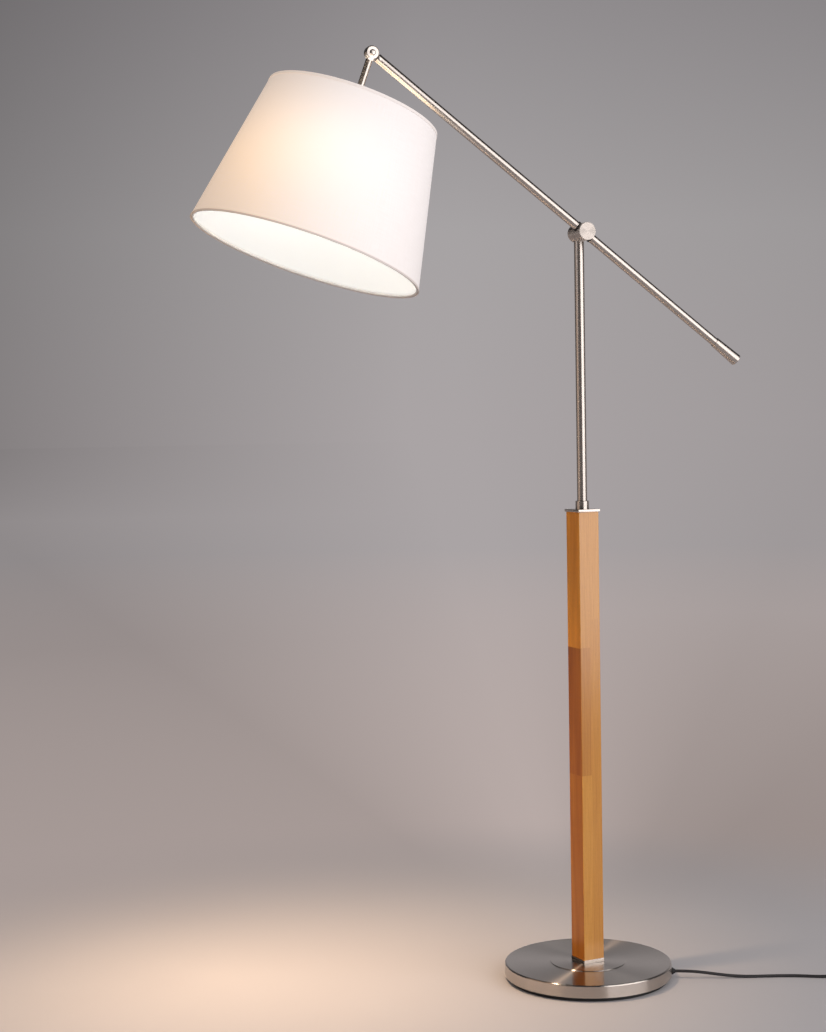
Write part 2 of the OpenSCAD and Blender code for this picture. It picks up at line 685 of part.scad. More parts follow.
// Rod, lampholder and bulb
module down_rod() color(steel) head_frame() tube(rod_d / 2, rod_bore_r, stem_start + stem_len, rod_low);

module rod_cable() color("#e6e2da") head_frame()
    translate([rod_bore_r - cable_d / 2 - slip_fit, 0, rod_cable_top])
        cylinder(d = cable_d, h = rod_low - nipple_grip - 2 - rod_cable_top);

module holder_nipple() color("#a89a6a") head_frame()
    tube(nipple_r, nipple_r - rod_wall, rod_low - nipple_grip, rod_low + nipple_out);

module holder_cap() color(dark) head_frame() difference() {
    translate([0, 0, holder_top]) rotate_extrude() polygon(concat(
        [[0, 0], [rod_d / 2 + 3, 0]],
        arc([holder_d / 2 - 8, 12], 8, -60, 0, 6),
        [[holder_d / 2, holder_cap_h], [0, holder_cap_h]]
    ));
    translate([0, 0, holder_top - 1]) cylinder(r = rod_d / 2 + slip_fit, h = rod_low - holder_top + 1);
    translate([0, 0, holder_top]) cylinder(r = nipple_r + slip_fit, h = holder_cap_h + 1);
    translate([0, 0, rod_low + nipple_out]) cylinder(r = holder_d / 2 - holder_wall, h = holder_cap_h);
}

module holder_body() color(dark) head_frame() difference() {
    translate([0, 0, body_top]) cylinder(d = holder_d, h = holder_len);
    translate([0, 0, body_top - 1]) cylinder(r = holder_d / 2 - holder_wall, h = 5);
    translate([0, 0, body_top + 7]) cylinder(r = bulb_cap_d / 2 + 1.2, h = holder_len);
    for (side = [-1, 1]) translate([side * 5, 0, body_top]) cylinder(d = 2.6, h = 10);
}

module socket_shell() color("#c9b46a") head_frame()
    tube(bulb_cap_d / 2 + 1.2 - slip_fit, bulb_cap_d / 2 + 0.5, body_top + 7, body_low - 3);

module centre_contact() color("#c9b46a") head_frame() {
    translate([-4, -3, body_top + 7]) cube([8, 6, 0.6]);
    translate([0, 0, body_top + 7]) cylinder(d1 = 5, d2 = 4, h = bulb_top - body_top - 7);
}

module shade_rings() color(dark) head_frame()
    for (s = [fitter_s - shade_ring_h, fitter_s + fitter_t])
        tube(shade_ring_d / 2, holder_d / 2 + slip_fit, s, s + shade_ring_h);

module bulb_cap() color("#cfcfcf") head_frame() translate([0, 0, bulb_top]) rotate_extrude() polygon(concat(
    [[0, 0], [5, 0], [bulb_cap_d / 2 - 3, 4]],
    [for (i = [0:4]) each [
        [bulb_cap_d / 2 - 0.9, 5 + i * 3.4], [bulb_cap_d / 2, 5.8 + i * 3.4],
        [bulb_cap_d / 2, 7 + i * 3.4], [bulb_cap_d / 2 - 0.9, 7.8 + i * 3.4]
    ]],
    [[bulb_cap_d / 2 - 0.4, bulb_cap_len], [0, bulb_cap_len]]
));

module bulb_globe() color("#f7f3ea") head_frame() translate([0, 0, bulb_neck])
    rotate_extrude() polygon(concat(
        [[bulb_cap_d / 2 - 0.4 - glass_t, 0], [bulb_cap_d / 2 - 0.4, 0], [bulb_cap_d / 2 + 2, 6]],
        arc([0, bulb_len - bulb_d / 2], bulb_d / 2, -38, 90, 20),
        arc([0, bulb_len - bulb_d / 2], bulb_d / 2 - glass_t, 90, -38, 20),
        [[bulb_cap_d / 2 + 2 - glass_t, 6]]
    ));

// Shade
module shade_spider() color("#d8d6d2") head_frame() {
    tube(fitter_d / 2, holder_d / 2 + pass_gap, fitter_s, fitter_s + fitter_t);
    for (a = [30, 150, 270]) rotate([0, 0, a]) spoke();
}
top_wire_s = shade_drop + wire_d / 2 + trim_t;
top_wire_r = shade_r(top_wire_s) - fabric_t - wire_d / 2 - 0.2;
low_wire_s = shade_low - wire_d / 2 - trim_t;
low_wire_r = shade_r(low_wire_s) - fabric_t - wire_d / 2 - 0.4;

module spoke() {
    from = [fitter_d / 2 - spoke_d / 2, fitter_s + fitter_t / 2];
    to = [top_wire_r, top_wire_s];
    run = to - from;
    translate([from[0], 0, from[1]]) rotate([0, atan2(run[0], run[1]), 0])
        cylinder(d = spoke_d, h = norm(run), $fn = 32);
}

module shade_wires() color("#d8d6d2") head_frame() {
    ring_wire(top_wire_r, top_wire_s, wire_d / 2);
    ring_wire(low_wire_r, low_wire_s, wire_d / 2);
}

// A tapered sleeve under the shade's outer face, from one depth to another
module sleeve(under, thick, low, high) rotate_extrude() polygon([
    [shade_r(low) - under, low], [shade_r(high) - under, high],
    [shade_r(high) - under - thick, high], [shade_r(low) - under - thick, low]
]);

module shade_liner() color("#f6f0e2") head_frame()
    sleeve(fabric_t + slip_fit, liner_t, top_wire_s + wire_d / 2 + 1, low_wire_s - wire_d / 2 - 1);

module shade_fabric() color("#f3e6d6") head_frame() sleeve(0, fabric_t, shade_drop, shade_low);

module shade_trims() color("#b9aca2") head_frame() {
    sleeve(-trim_t - slip_fit, trim_t, shade_drop, shade_drop + trim_h);
    sleeve(-trim_t - slip_fit, trim_t, shade_low - trim_h, shade_low);
}

// Cord
module cord_bush() color(dark) cord_frame() difference() {
    translate([base_d / 2, 0, exit_z]) rotate([0, 90, 0]) rotate_extrude() polygon([
        [0, bush_stand], [cord_d / 2 + 0.9, bush_stand], [bush_flange_d / 2 - 1, 2.6], [bush_flange_d / 2, 2],
        [bush_flange_d / 2, 0], [bush_neck_d / 2, 0], [bush_neck_d / 2, -cover_t],
        [bush_neck_d / 2 + 1, -cover_t - 0.2], [bush_neck_d / 2 + 0.6, -cover_t - 6],
        [cable_d / 2 + 1, -cover_t - bush_inside], [0, -cover_t - bush_inside]
    ]);
}

module inner_cable() color("#e6e2da") {
    cord_frame() {
        translate([cable_bend, 0, exit_z]) rotate([0, 90, 0])
            cylinder(d = cable_d, h = base_d / 2 - cover_t - bush_inside - cable_bend);
        translate([cable_bend, 0, exit_z + cable_bend]) rotate([90, 0, 0]) rotate([0, 0, 180])
            rotate_extrude(angle = 90) translate([cable_bend, 0]) circle(d = cable_d);
    }
    translate([0, 0, exit_z + cable_bend]) cylinder(d = cable_d, h = post_top - 6 - exit_z - cable_bend);
}

module cord_floor() color(dark) cord_frame() swept(route_out, cord_d / 2, cord_sides);
module cord_link() color(dark) cord_frame() swept(route_link, cord_d / 2, cord_sides);
module cord_tail() color(dark) cord_frame() swept(route_tail, cord_d / 2, cord_sides);
module cord_coil() color(dark) cord_frame() swept(coil_path, cord_d / 2, coil_sides);

module cord_tie() color("#55555a") cord_frame()
    translate([coil_x - (coil_r + coil_outer) / 2, coil_y, coil_low_z - cord_d / 2 - tie_t]) {
        long = coil_outer - coil_r + coil_step + cord_d + 1.2;
        high = coil_layer + cord_d + 0.6;
        translate([-long / 2 - tie_t, -tie_w / 2, 0]) difference() {
            cube([long + 2 * tie_t, tie_w, high + 2 * tie_t]);
            translate([tie_t, -1, tie_t]) cube([long, tie_w + 2, high]);
        }
    }

// Foot switch: the inside and outside outlines of its housing, seen from above
module switch_outline(inset) rounded(switch_len - 2 * inset, switch_w - 2 * inset, switch_corner - inset);

// A block as long as the housing whose upper long edges are rounded, to be cut by another across it
module round_topped(width, length, low, high) rotate([90, 0, 90]) translate([0, 0, -length / 2])
    linear_extrude(length) polygon(concat([[-width / 2, low], [width / 2, low]],
        arc([width / 2 - switch_round, high - switch_round], switch_round, 0, 90, 8),
        arc([-width / 2 + switch_round, high - switch_round], switch_round, 90, 180, 8)));

module switch_flex_way() translate([-switch_len, 0, switch_z]) rotate([0, 90, 0])
    cylinder(d = cord_d + 2 * slip_fit, h = 2 * switch_len);

module switch_shells() color(dark) cord_frame() translate([switch_x, switch_y, 0]) {
    difference() {
        linear_extrude(switch_low_h) switch_outline(0);
        translate([0, 0, switch_wall]) linear_extrude(switch_low_h) switch_outline(switch_wall);
        switch_flex_way();
    }
    difference() {
        intersection() {
            translate([0, 0, switch_low_h]) linear_extrude(switch_up_h) switch_outline(0);
            round_topped(switch_w, switch_len, 0, switch_top);
            rotate([0, 0, 90]) round_topped(switch_len, switch_w, 0, switch_top);
        }
        intersection() {
            linear_extrude(switch_top - switch_wall) switch_outline(switch_wall);
            round_topped(switch_w - 2 * switch_wall, switch_len, 0, switch_top - switch_wall);
            rotate([0, 0, 90])
                round_topped(switch_len - 2 * switch_wall, switch_w, 0, switch_top - switch_wall);
        }
        cylinder(d = button_d + 2 * pass_gap, h = switch_top + 1);
        switch_flex_way();
    }
}

module switch_reliefs() color(dark) cord_frame() for (side = [-1, 1])
    translate([switch_x + side * switch_len / 2, switch_y, switch_z]) rotate([0, side * 90, 0]) difference() {
        cylinder(d1 = relief_d, d2 = cord_d + 1.4, h = relief_len);
        for (i = [1:3]) translate([0, 0, i * relief_len / 4]) tube(relief_d, cord_d / 2 + 0.9, 0, 1.6);
    }

module switch_block() color("#8c8c90") cord_frame() translate([switch_x, switch_y, switch_wall]) {
    translate([-11, -8, 0]) cube([22, 16, 3.2]);
    for (side = [-1, 1]) translate([side * 7 - 2, -4, 3.2]) cube([4, 8, 2]);
}

module switch_spring() color(steel) cord_frame() translate([switch_x, switch_y, 0])
    tube(4, 3, switch_wall + 3.2, button_low);

module switch_button() color("#3a3a3d") cord_frame() translate([switch_x, switch_y, 0]) {
    translate([0, 0, button_low]) cylinder(d = button_d + 3, h = 2);
    translate([0, 0, button_low + 1]) cylinder(d = button_d, h = switch_top + button_out - button_low - 2);
    translate([0, 0, switch_top + button_out - 1 - eps]) cylinder(d1 = button_d, d2 = button_d - 2.5, h = 1);
}

// Plug: its pins point along y of the cord's frame
module plug() color(dark) cord_frame() translate([plug_x, plug_y, plug_t / 2]) rotate([0, 0, 90]) {
    difference() {
        rotate([0, 90, 0]) cylinder(d1 = cord_d + 1.4, d2 = relief_d + 0.6, h = relief_len);
        for (i = [1:3]) translate([i * relief_len / 4, 0, 0]) rotate([0, 90, 0])
            tube(relief_d, cord_d / 2 + 0.9, 0, 1.6);
    }
    translate([relief_len, 0, 0]) intersection() {
        translate([0, 0, -plug_t / 2]) linear_extrude(plug_t) polygon([
            [0, -7], [plug_body_len * 0.45, -plug_w / 2 + 1.5], [plug_body_len - 3, -plug_w / 2],
            [plug_body_len, -plug_w / 2 + 3], [plug_body_len, plug_w / 2 - 3],
            [plug_body_len - 3, plug_w / 2],
            [plug_body_len * 0.45, plug_w / 2 - 1.5], [0, 7]
        ]);
        translate([0, plug_w / 2, 0]) rotate([90, 0, 0]) linear_extrude(plug_w) polygon([
            [0, -plug_t / 2 + 1.6], [4, -plug_t / 2], [plug_body_len - 1, -plug_t / 2],
            [plug_body_len, -plug_t / 2 + 1], [plug_body_len, plug_t / 2 - 1],
            [plug_body_len - 1, plug_t / 2],
            [4, plug_t / 2], [0, plug_t / 2 - 1.6]
        ]);
    }
    for (side = [-1, 1]) translate([relief_len + plug_body_len - 1, side * pin_gap / 2, 0])
        rotate([0, 90, 0]) {
            cylinder(d = pin_d, h = pin_len);
            translate([0, 0, pin_len]) cylinder(d1 = pin_d, d2 = pin_d - 1.4, h = 1);
        }
}

foot_mat();
bottom_plate();
bottom_screws();
base_weight();
base_cover();
tie_tube();
tie_nut();
tie_washer();
foot_collar();
wood_column();
top_plate();
post_collar();
post_insert();
post_tube();
drum_rear_half();
pivot_bolt();
spring_washer();
cord_bush();
inner_cable();
drum_front_half();
drum_end_cap();
friction_washer();
arm_tube();
arm_bushes();
arm_grub_screw();
arm_cable();
tail_plug();
tail_stud();
tail_weight();
arm_knuckle();
knuckle_washer();
knuckle_screw();
knuckle_nut();
rod_knuckle();
down_rod();
rod_cable();
holder_nipple();
holder_cap();
holder_body();
socket_shell();
centre_contact();
shade_rings();
bulb_cap();
bulb_globe();
shade_spider();
shade_wires();
shade_liner();
shade_fabric();
shade_trims();
cord_floor();
cord_link();
cord_coil();
cord_tail();
cord_tie();
switch_shells();
switch_reliefs();
switch_block();
switch_spring();
switch_button();
plug();
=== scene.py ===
import json
import math

import bmesh
import bpy
from mathutils import Matrix, Vector

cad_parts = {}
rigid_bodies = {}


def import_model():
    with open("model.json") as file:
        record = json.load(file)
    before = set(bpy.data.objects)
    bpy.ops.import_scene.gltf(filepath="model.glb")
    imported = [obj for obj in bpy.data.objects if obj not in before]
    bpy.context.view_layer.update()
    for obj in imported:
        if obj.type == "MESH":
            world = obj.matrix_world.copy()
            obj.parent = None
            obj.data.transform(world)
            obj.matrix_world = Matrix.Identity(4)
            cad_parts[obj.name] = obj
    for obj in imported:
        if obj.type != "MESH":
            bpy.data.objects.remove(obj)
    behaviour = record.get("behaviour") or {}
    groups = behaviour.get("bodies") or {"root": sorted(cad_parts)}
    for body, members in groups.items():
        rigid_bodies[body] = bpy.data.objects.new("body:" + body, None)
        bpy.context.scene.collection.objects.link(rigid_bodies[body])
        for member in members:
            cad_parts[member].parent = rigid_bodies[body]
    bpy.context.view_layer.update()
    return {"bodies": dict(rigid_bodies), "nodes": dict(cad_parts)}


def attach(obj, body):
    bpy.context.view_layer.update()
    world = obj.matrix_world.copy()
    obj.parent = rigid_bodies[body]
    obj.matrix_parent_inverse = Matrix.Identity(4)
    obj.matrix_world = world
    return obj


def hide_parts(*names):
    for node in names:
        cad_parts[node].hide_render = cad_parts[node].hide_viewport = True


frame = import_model()
nodes = frame["nodes"]

bpy.context.scene.view_settings.view_transform = "Standard"

# Sizes shared with the part's source, in millimetres and degrees. One unit of the scene is a metre.
MM = 0.001
COLUMN_W, COLUMN_LOW, COLUMN_TOP, COLUMN_TURN = 42, 38, 843, 8
PIVOT_Z, ARM_Y, ARM_TILT = 1337, -21, 37
ARM_HEAD_LEN, HEAD_TILT = 486, 20
SHADE_DROP, SHADE_H, SHADE_TOP_D, SHADE_BOTTOM_D = 99, 264, 295, 400
FABRIC_T, LINER_T, WIRE_D, TRIM_H, TRIM_T = 1, 0.5, 3.4, 5, 0.6
SHADE_RING_D, SHADE_RING_H, FITTER_DEPTH, FITTER_T = 54, 4, 36, 1.6
BULB_CENTRE = 216
CORD_D, CORD_TURN = 5.4, -25
COIL_R, COIL_TURNS, COIL_STEP, COIL_LAYER = 23.4, 6, 6, 5.9
COIL_X, COIL_Y, COIL_LOW = 550.6, 80, 3.6
TIE_W, TIE_T = 10, 0.8
FOOT_H, SCREW_CIRCLE_D, SCREW_HEAD_D, SCREW_HEAD_H, SCREW_D, SCREW_LEN = 8, 150, 8, 2, 4, 9
PLUG_Y, RELIEF_LEN, PLUG_BODY_LEN = 128, 20, 36

# The cord's points, in a frame turned to its side of the base, where x runs away from the base
ROUTE_OUT = [
    (156, 0, 13), (161.4, 0, 13), (172, 0, 13), (184, 0, 12.7), (197, 0.3, 11.8), (211, 0.9, 10.2),
    (227, 1.7, 8.1), (244, 2.7, 6), (261, 4, 4.3), (278, 5.6, 3.2), (295, 7.4, 2.7), (313, 9.6, 2.7),
    (331, 11.8, 2.7), (350, 13.4, 2.7), (369, 14, 2.7), (388, 13.2, 2.7), (405, 11.6, 2.7),
    (421, 10.3, 3.2), (436, 10, 4.6), (448, 10, 6), (454.6, 10, 6.5), (460, 10, 6.5)
]
ROUTE_LINK = [
    (562, 10, 6.5), (567.4, 10, 6.5), (575, 11.4, 6.3), (583, 15.7, 5.7), (588.5, 22.4, 4.9),
    (591.2, 31, 4.1), (592, 42, 3.7), (592, 54, 3.6), (592, 66, 3.6), (592, 74.6, 3.6)
]
ROUTE_TAIL = [
    (592, 85.4, 9.5), (592, 90.8, 9.5), (592, 99, 9.1), (592, 108, 8.2), (592, 116, 7.4),
    (592, 122.6, 6.85), (592, 128, 6.85)
]


def placed(x, y, z, axis, degrees):
    """A frame at a point in millimetres, turned about one axis, that takes metres to metres."""
    return Matrix.Translation(Vector((x, y, z)) * MM) @ Matrix.Rotation(math.radians(degrees), 4, axis)


knuckle_x = -ARM_HEAD_LEN * math.cos(math.radians(ARM_TILT))
knuckle_z = PIVOT_Z + ARM_HEAD_LEN * math.sin(math.radians(ARM_TILT))
ARM = placed(0, ARM_Y, PIVOT_Z, "Y", ARM_TILT)
HEAD = placed(knuckle_x, ARM_Y, knuckle_z, "Y", HEAD_TILT + 180)
CORD = placed(0, 0, 0, "Z", CORD_TURN)


def shade_r(s):
    """The shade's outer radius at a distance down the rod."""
    return (SHADE_TOP_D + (SHADE_BOTTOM_D - SHADE_TOP_D) * (s - SHADE_DROP) / SHADE_H) / 2


def linked(name, data):
    """A new object in the scene that shows a mesh, a camera or a light."""
    obj = bpy.data.objects.new(name, data)
    bpy.context.scene.collection.objects.link(obj)
    return obj


# The camera, solved from the photograph: the picture's height and the focal length in pixels, the film's width, and
# the distance in metres that it sees to, which is past the floor's edge
PICTURE_H, FOCAL_LEN, FILM_W, SEES_TO = 1032, 1866.9, 36, 100
# How far it stands from the object's upright axis and above the floor, in metres, how far round the object it stands
# from the -Y side, and its own turns, in degrees. ASIDE is how far it looks past the axis.
AWAY, ABOVE, ROUND, ASIDE, PITCH, ROLL = 3.3427, 1.009, -24.674, 5.19, -2.904, -0.983


def make_camera():
    data = bpy.data.cameras.new("camera")
    data.sensor_width = FILM_W
    data.lens = FOCAL_LEN * FILM_W / PICTURE_H
    data.clip_end = SEES_TO
    camera = linked("camera", data)
    round_object, aside, pitch, roll = (math.radians(a) for a in (ROUND, ASIDE, PITCH, ROLL))
    camera.location = (AWAY * math.sin(round_object), -AWAY * math.cos(round_object), ABOVE)
    yaw = round_object + aside
    ahead = Vector((-math.sin(yaw) * math.cos(pitch), math.cos(yaw) * math.cos(pitch), math.sin(pitch)))
    right = Vector((math.cos(yaw), math.sin(yaw), 0))
    up = right.cross(ahead)
    turned_right = right * math.cos(roll) + up * math.sin(roll)
    turned_up = -right * math.sin(roll) + up * math.cos(roll)
    axes = Matrix((turned_right, turned_up, -ahead)).transposed()
    camera.rotation_euler = axes.to_euler()
    bpy.context.scene.camera = camera


make_camera()


# Colours and nodes
def linear(code):
    """An sRGB hex colour as linear red, green, blue and alpha."""
    parts = [int(code[i:i + 2], 16) / 255 for i in (1, 3, 5)]
    return [c / 12.92 if c <= 0.04045 else ((c + 0.055) / 1.055) ** 2.4 for c in parts] + [1.0]


def add(tree, kind, inputs=(), **settings):
    """Adds a node with its settings, and fills its inputs."""
    node = tree.nodes.new(kind)
    for name, value in settings.items():
        setattr(node, name, value)
    fill(tree, node, inputs)
    return node


def fill(tree, node, inputs):
    """Sets a node's inputs. Each takes a value, or is joined to another node's output."""
    for key, value in dict(inputs).items():
        if isinstance(value, bpy.types.NodeSocket):
            tree.links.new(value, node.inputs[key])
        else:
            node.inputs[key].default_value = value


def material(name, **inputs):
    """A Principled material, its plain inputs given with underscores for spaces."""
    made = bpy.data.materials.new(name)
    made.use_nodes = True
    shader = made.node_tree.nodes["Principled BSDF"]
    fill(made.node_tree, shader, {key.replace("_", " "): value for key, value in inputs.items()})
    return made, made.node_tree, shader


def math_of(tree, operation, *values):
    """One step of work on numbers."""
    return add(tree, "ShaderNodeMath", dict(enumerate(values)), operation=operation).outputs[0]


def vector_of(tree, operation, *values):
    """One step of work on vectors. It gives a vector, or a number where that is what the step finds."""
    node = add(tree, "ShaderNodeVectorMath", dict(enumerate(values)), operation=operation)
    return node.outputs["Value" if operation in ("DOT_PRODUCT", "LENGTH", "DISTANCE") else "Vector"]


def place_on(tree):
    """The point on the surface in the row frame, in metres."""
    return add(tree, "ShaderNodeTexCoord").outputs["Object"]


def mixed(tree, share, low, high):
    """A colour between two, each a hex colour or a node's output."""
    pair = [linear(c) if isinstance(c, str) else c for c in (low, high)]
    node = add(tree, "ShaderNodeMix", data_type="RGBA", clamp_factor=True)
    fill(tree, node, {0: share, 6: pair[0], 7: pair[1]})
    return node.outputs[2]


def spread(tree, value, low, high, to_low, to_high):
    """Takes a value between low and high, evenly, to one between to_low and to_high."""
    node = add(tree, "ShaderNodeMapRange", {0: value, 1: low, 2: high, 3: to_low, 4: to_high})
    return node.outputs[0]


def noise(tree, vector, scale, detail=2.0, roughness=0.5):
    """Soft noise from 0 to 1."""
    inputs = {"Vector": vector, "Scale": scale, "Detail": detail, "Roughness": roughness}
    return add(tree, "ShaderNodeTexNoise", inputs).outputs[0]


def bumped(tree, shader, height, distance, strength=1.0):
    """Lets a surface look raised by its height, which stands for so many metres."""
    inputs = {"Height": height, "Distance": distance, "Strength": strength}
    fill(tree, shader, {"Normal": add(tree, "ShaderNodeBump", inputs).outputs[0]})


def weighed(tree, share, one, other):
    """A share of one value, with the rest made up by another."""
    parts = [math_of(tree, "MULTIPLY", value, part) for value, part in ((one, share), (other, 1 - share))]
    return math_of(tree, "ADD", *parts)


# Real brush lines are about 0.05 mm apart. They are drawn this far apart, in metres, so that they show.
BRUSH_GAP = 0.0004


def satin_steel(name, point=None, axis=(0, 0, 1), rough=(0.25, 0.29)):
    """Stainless steel brushed while it turned: fine rings round the axis, which stretch the shine across them.
    Without a point it is a flat plate, with its lines level."""
    made, tree, shader = material(name, Metallic=1.0)
    spot = place_on(tree)
    if point:
        arm = vector_of(tree, "SUBTRACT", spot, point)
        along = vector_of(tree, "DOT_PRODUCT", arm, axis)
        out = vector_of(tree, "LENGTH", vector_of(tree, "CROSS_PRODUCT", arm, axis))
        rings = add(tree, "ShaderNodeCombineXYZ", {0: out, 1: along}).outputs[0]
        lines = noise(tree, rings, 1 / BRUSH_GAP, 3.0, 0.65)
        around = vector_of(tree, "NORMALIZE", vector_of(tree, "CROSS_PRODUCT", axis, arm))
        turned = add(tree, "ShaderNodeVectorTransform", {0: around}, vector_type="VECTOR",
                     convert_from="OBJECT", convert_to="WORLD").outputs[0]
        fill(tree, shader, {"Anisotropic": 1.0, "Anisotropic Rotation": 0.25, "Tangent": turned})
    else:
        # Here the lines are drawn about 0.5 mm apart and 40 mm long.
        lines = noise(tree, vector_of(tree, "MULTIPLY", spot, (25, 25, 1800)), 1.0, 3.0, 0.65)
    # Fingers and cloths leave faint cloudy patches, some centimetres wide.
    mostly = weighed(tree, 0.75, lines, noise(tree, spot, 28.0))
    fill(tree, shader, {
        "Base Color": mixed(tree, spread(tree, mostly, 0.35, 0.65, 0, 1), "#C0B8B0", "#CDC6BF"),
        "Roughness": spread(tree, mostly, 0.3, 0.7, *rough)
    })
    bumped(tree, shader, lines, 0.000003, 0.5)
    return made


def plain_metal(name, colour, dark, rough, grain=900.0):
    """Metal as it comes from a machine: a fine even grain and slightly uneven colour."""
    made, tree, shader = material(name, Metallic=1.0)
    fine = noise(tree, place_on(tree), grain, 3.0)
    fill(tree, shader, {
        "Base Color": mixed(tree, fine, dark, colour),
        "Roughness": spread(tree, fine, 0.3, 0.7, rough - 0.06, rough + 0.06)
    })
    bumped(tree, shader, fine, 0.00002, 0.4)
    return made


def moulded(name, colour, light, rough, grain=1500.0, depth=0.00003):
    """Moulded plastic or rubber: one colour with a faint spark-eroded grain."""
    made, tree, shader = material(name, IOR=1.5)
    fine = noise(tree, place_on(tree), grain, 3.0, 0.6)
    broad = noise(tree, place_on(tree), 60.0)
    fill(tree, shader, {
        "Base Color": mixed(tree, broad, colour, light),
        "Roughness": spread(tree, fine, 0.3, 0.7, rough - 0.05, rough + 0.07)
    })
    bumped(tree, shader, fine, depth, 0.5)
    return made


knuckle = (knuckle_x * MM, ARM_Y * MM, knuckle_z * MM)
arm_way = tuple(ARM.to_3x3() @ Vector((1, 0, 0)))
rod_way = tuple(HEAD.to_3x3() @ Vector((0, 0, 1)))
drum_middle = (0, ARM_Y * MM, PIVOT_Z * MM)

STEEL_BASE = satin_steel("satin_stainless_base", (0, 0, 0), rough=(0.22, 0.26))
STEEL_POST = satin_steel("satin_stainless_post", (0, 0, 0))
STEEL_DRUM = satin_steel("satin_stainless_drum", drum_middle, (0, 1, 0), rough=(0.37, 0.42))
STEEL_ARM = satin_steel("satin_stainless_arm", drum_middle, arm_way)
STEEL_ROD = satin_steel("satin_stainless_rod", knuckle, rod_way)
STEEL_HINGE = satin_steel("satin_stainless_hinge", knuckle, (0, 1, 0), rough=(0.19, 0.24))
STEEL_PLATE = satin_steel("satin_stainless_plate")
ZINC = plain_metal("zinc_plated_steel", "#B9BBB8", "#9FA19D", 0.38)
BLACK_STEEL = plain_metal("black_oxide_steel", "#3A3A3C", "#2B2B2D", 0.45)
BRASS = plain_metal("machined_brass", "#C9AE6C", "#B39554", 0.32)
NICKEL = plain_metal("nickel_plated_brass", "#CFC9BE", "#B9B3A8", 0.25)
CAP_METAL = plain_metal("bulb_cap_aluminium", "#CBCBC9", "#B0B0AE", 0.3)
RUBBER = moulded("black_rubber", "#1B1B1C", "#242425", 0.72, 700.0, 0.00008)
FIBRE = moulded("black_fibre", "#2A2826", "#383532", 0.8, 1200.0, 0.00006)
PLASTIC = moulded("black_abs_moulded", "#1C1C1E", "#242427", 0.42)
GREY_PLASTIC = moulded("grey_nylon", "#7E7E80", "#8A8A8C", 0.5)
FLEX = moulded("black_pvc_flex", "#1E1D1F", "#2A292B", 0.46, 900.0, 0.00004)
SHEATH = moulded("white_pvc_sheath", "#D9D6CE", "#E2DFD8", 0.5)
STRAP = moulded("black_nylon_strap", "#1A1A1B", "#303031", 0.85, 2200.0, 0.0001)
ENAMEL = moulded("white_enamel", "#E4E2DD", "#EBE9E5", 0.35, 500.0, 0.00002)
CONCRETE = moulded("cast_concrete", "#7C7973", "#928F88", 0.9, 260.0, 0.0004)


# The lengths that the oak's two staves are glued from, the left stave first: where each length starts, as a share of
# the column's height, and its tone from dark to light
OAK_LENGTHS = (((0.0, 0.8), (0.412, 0.15), (0.698, 0.62)), ((0.0, 0.5), (0.76, 0.72)))
# The board on the left side is this deep, in millimetres. Its colour has painted light and shade: the wood's colour
# times the first factors, which paint its lower lengths darker and redder, and times the second, which paint the top
# one lighter and more orange, for how the light falls on that side.
SIDE_SKIN, SIDE_SHADE_LOW, SIDE_LIGHT_TOP = 0.3, (0.74, 0.53, 0.25), (1.25, 1.04, 0.55)
# The year rings are this far apart, in metres.
RING_GAP = 0.0025


def stave_tone(tree, share_up, lengths):
    """The tone of a stave at each height."""
    node = add(tree, "ShaderNodeValToRGB", {0: share_up})
    node.color_ramp.interpolation = "CONSTANT"
    marks = node.color_ramp.elements
    for k, (position, tone) in enumerate(lengths):
        mark = marks[k] if k < 2 else marks.new(position)
        mark.position = position
        mark.color = (tone, tone, tone, 1)
    return node.outputs[0]


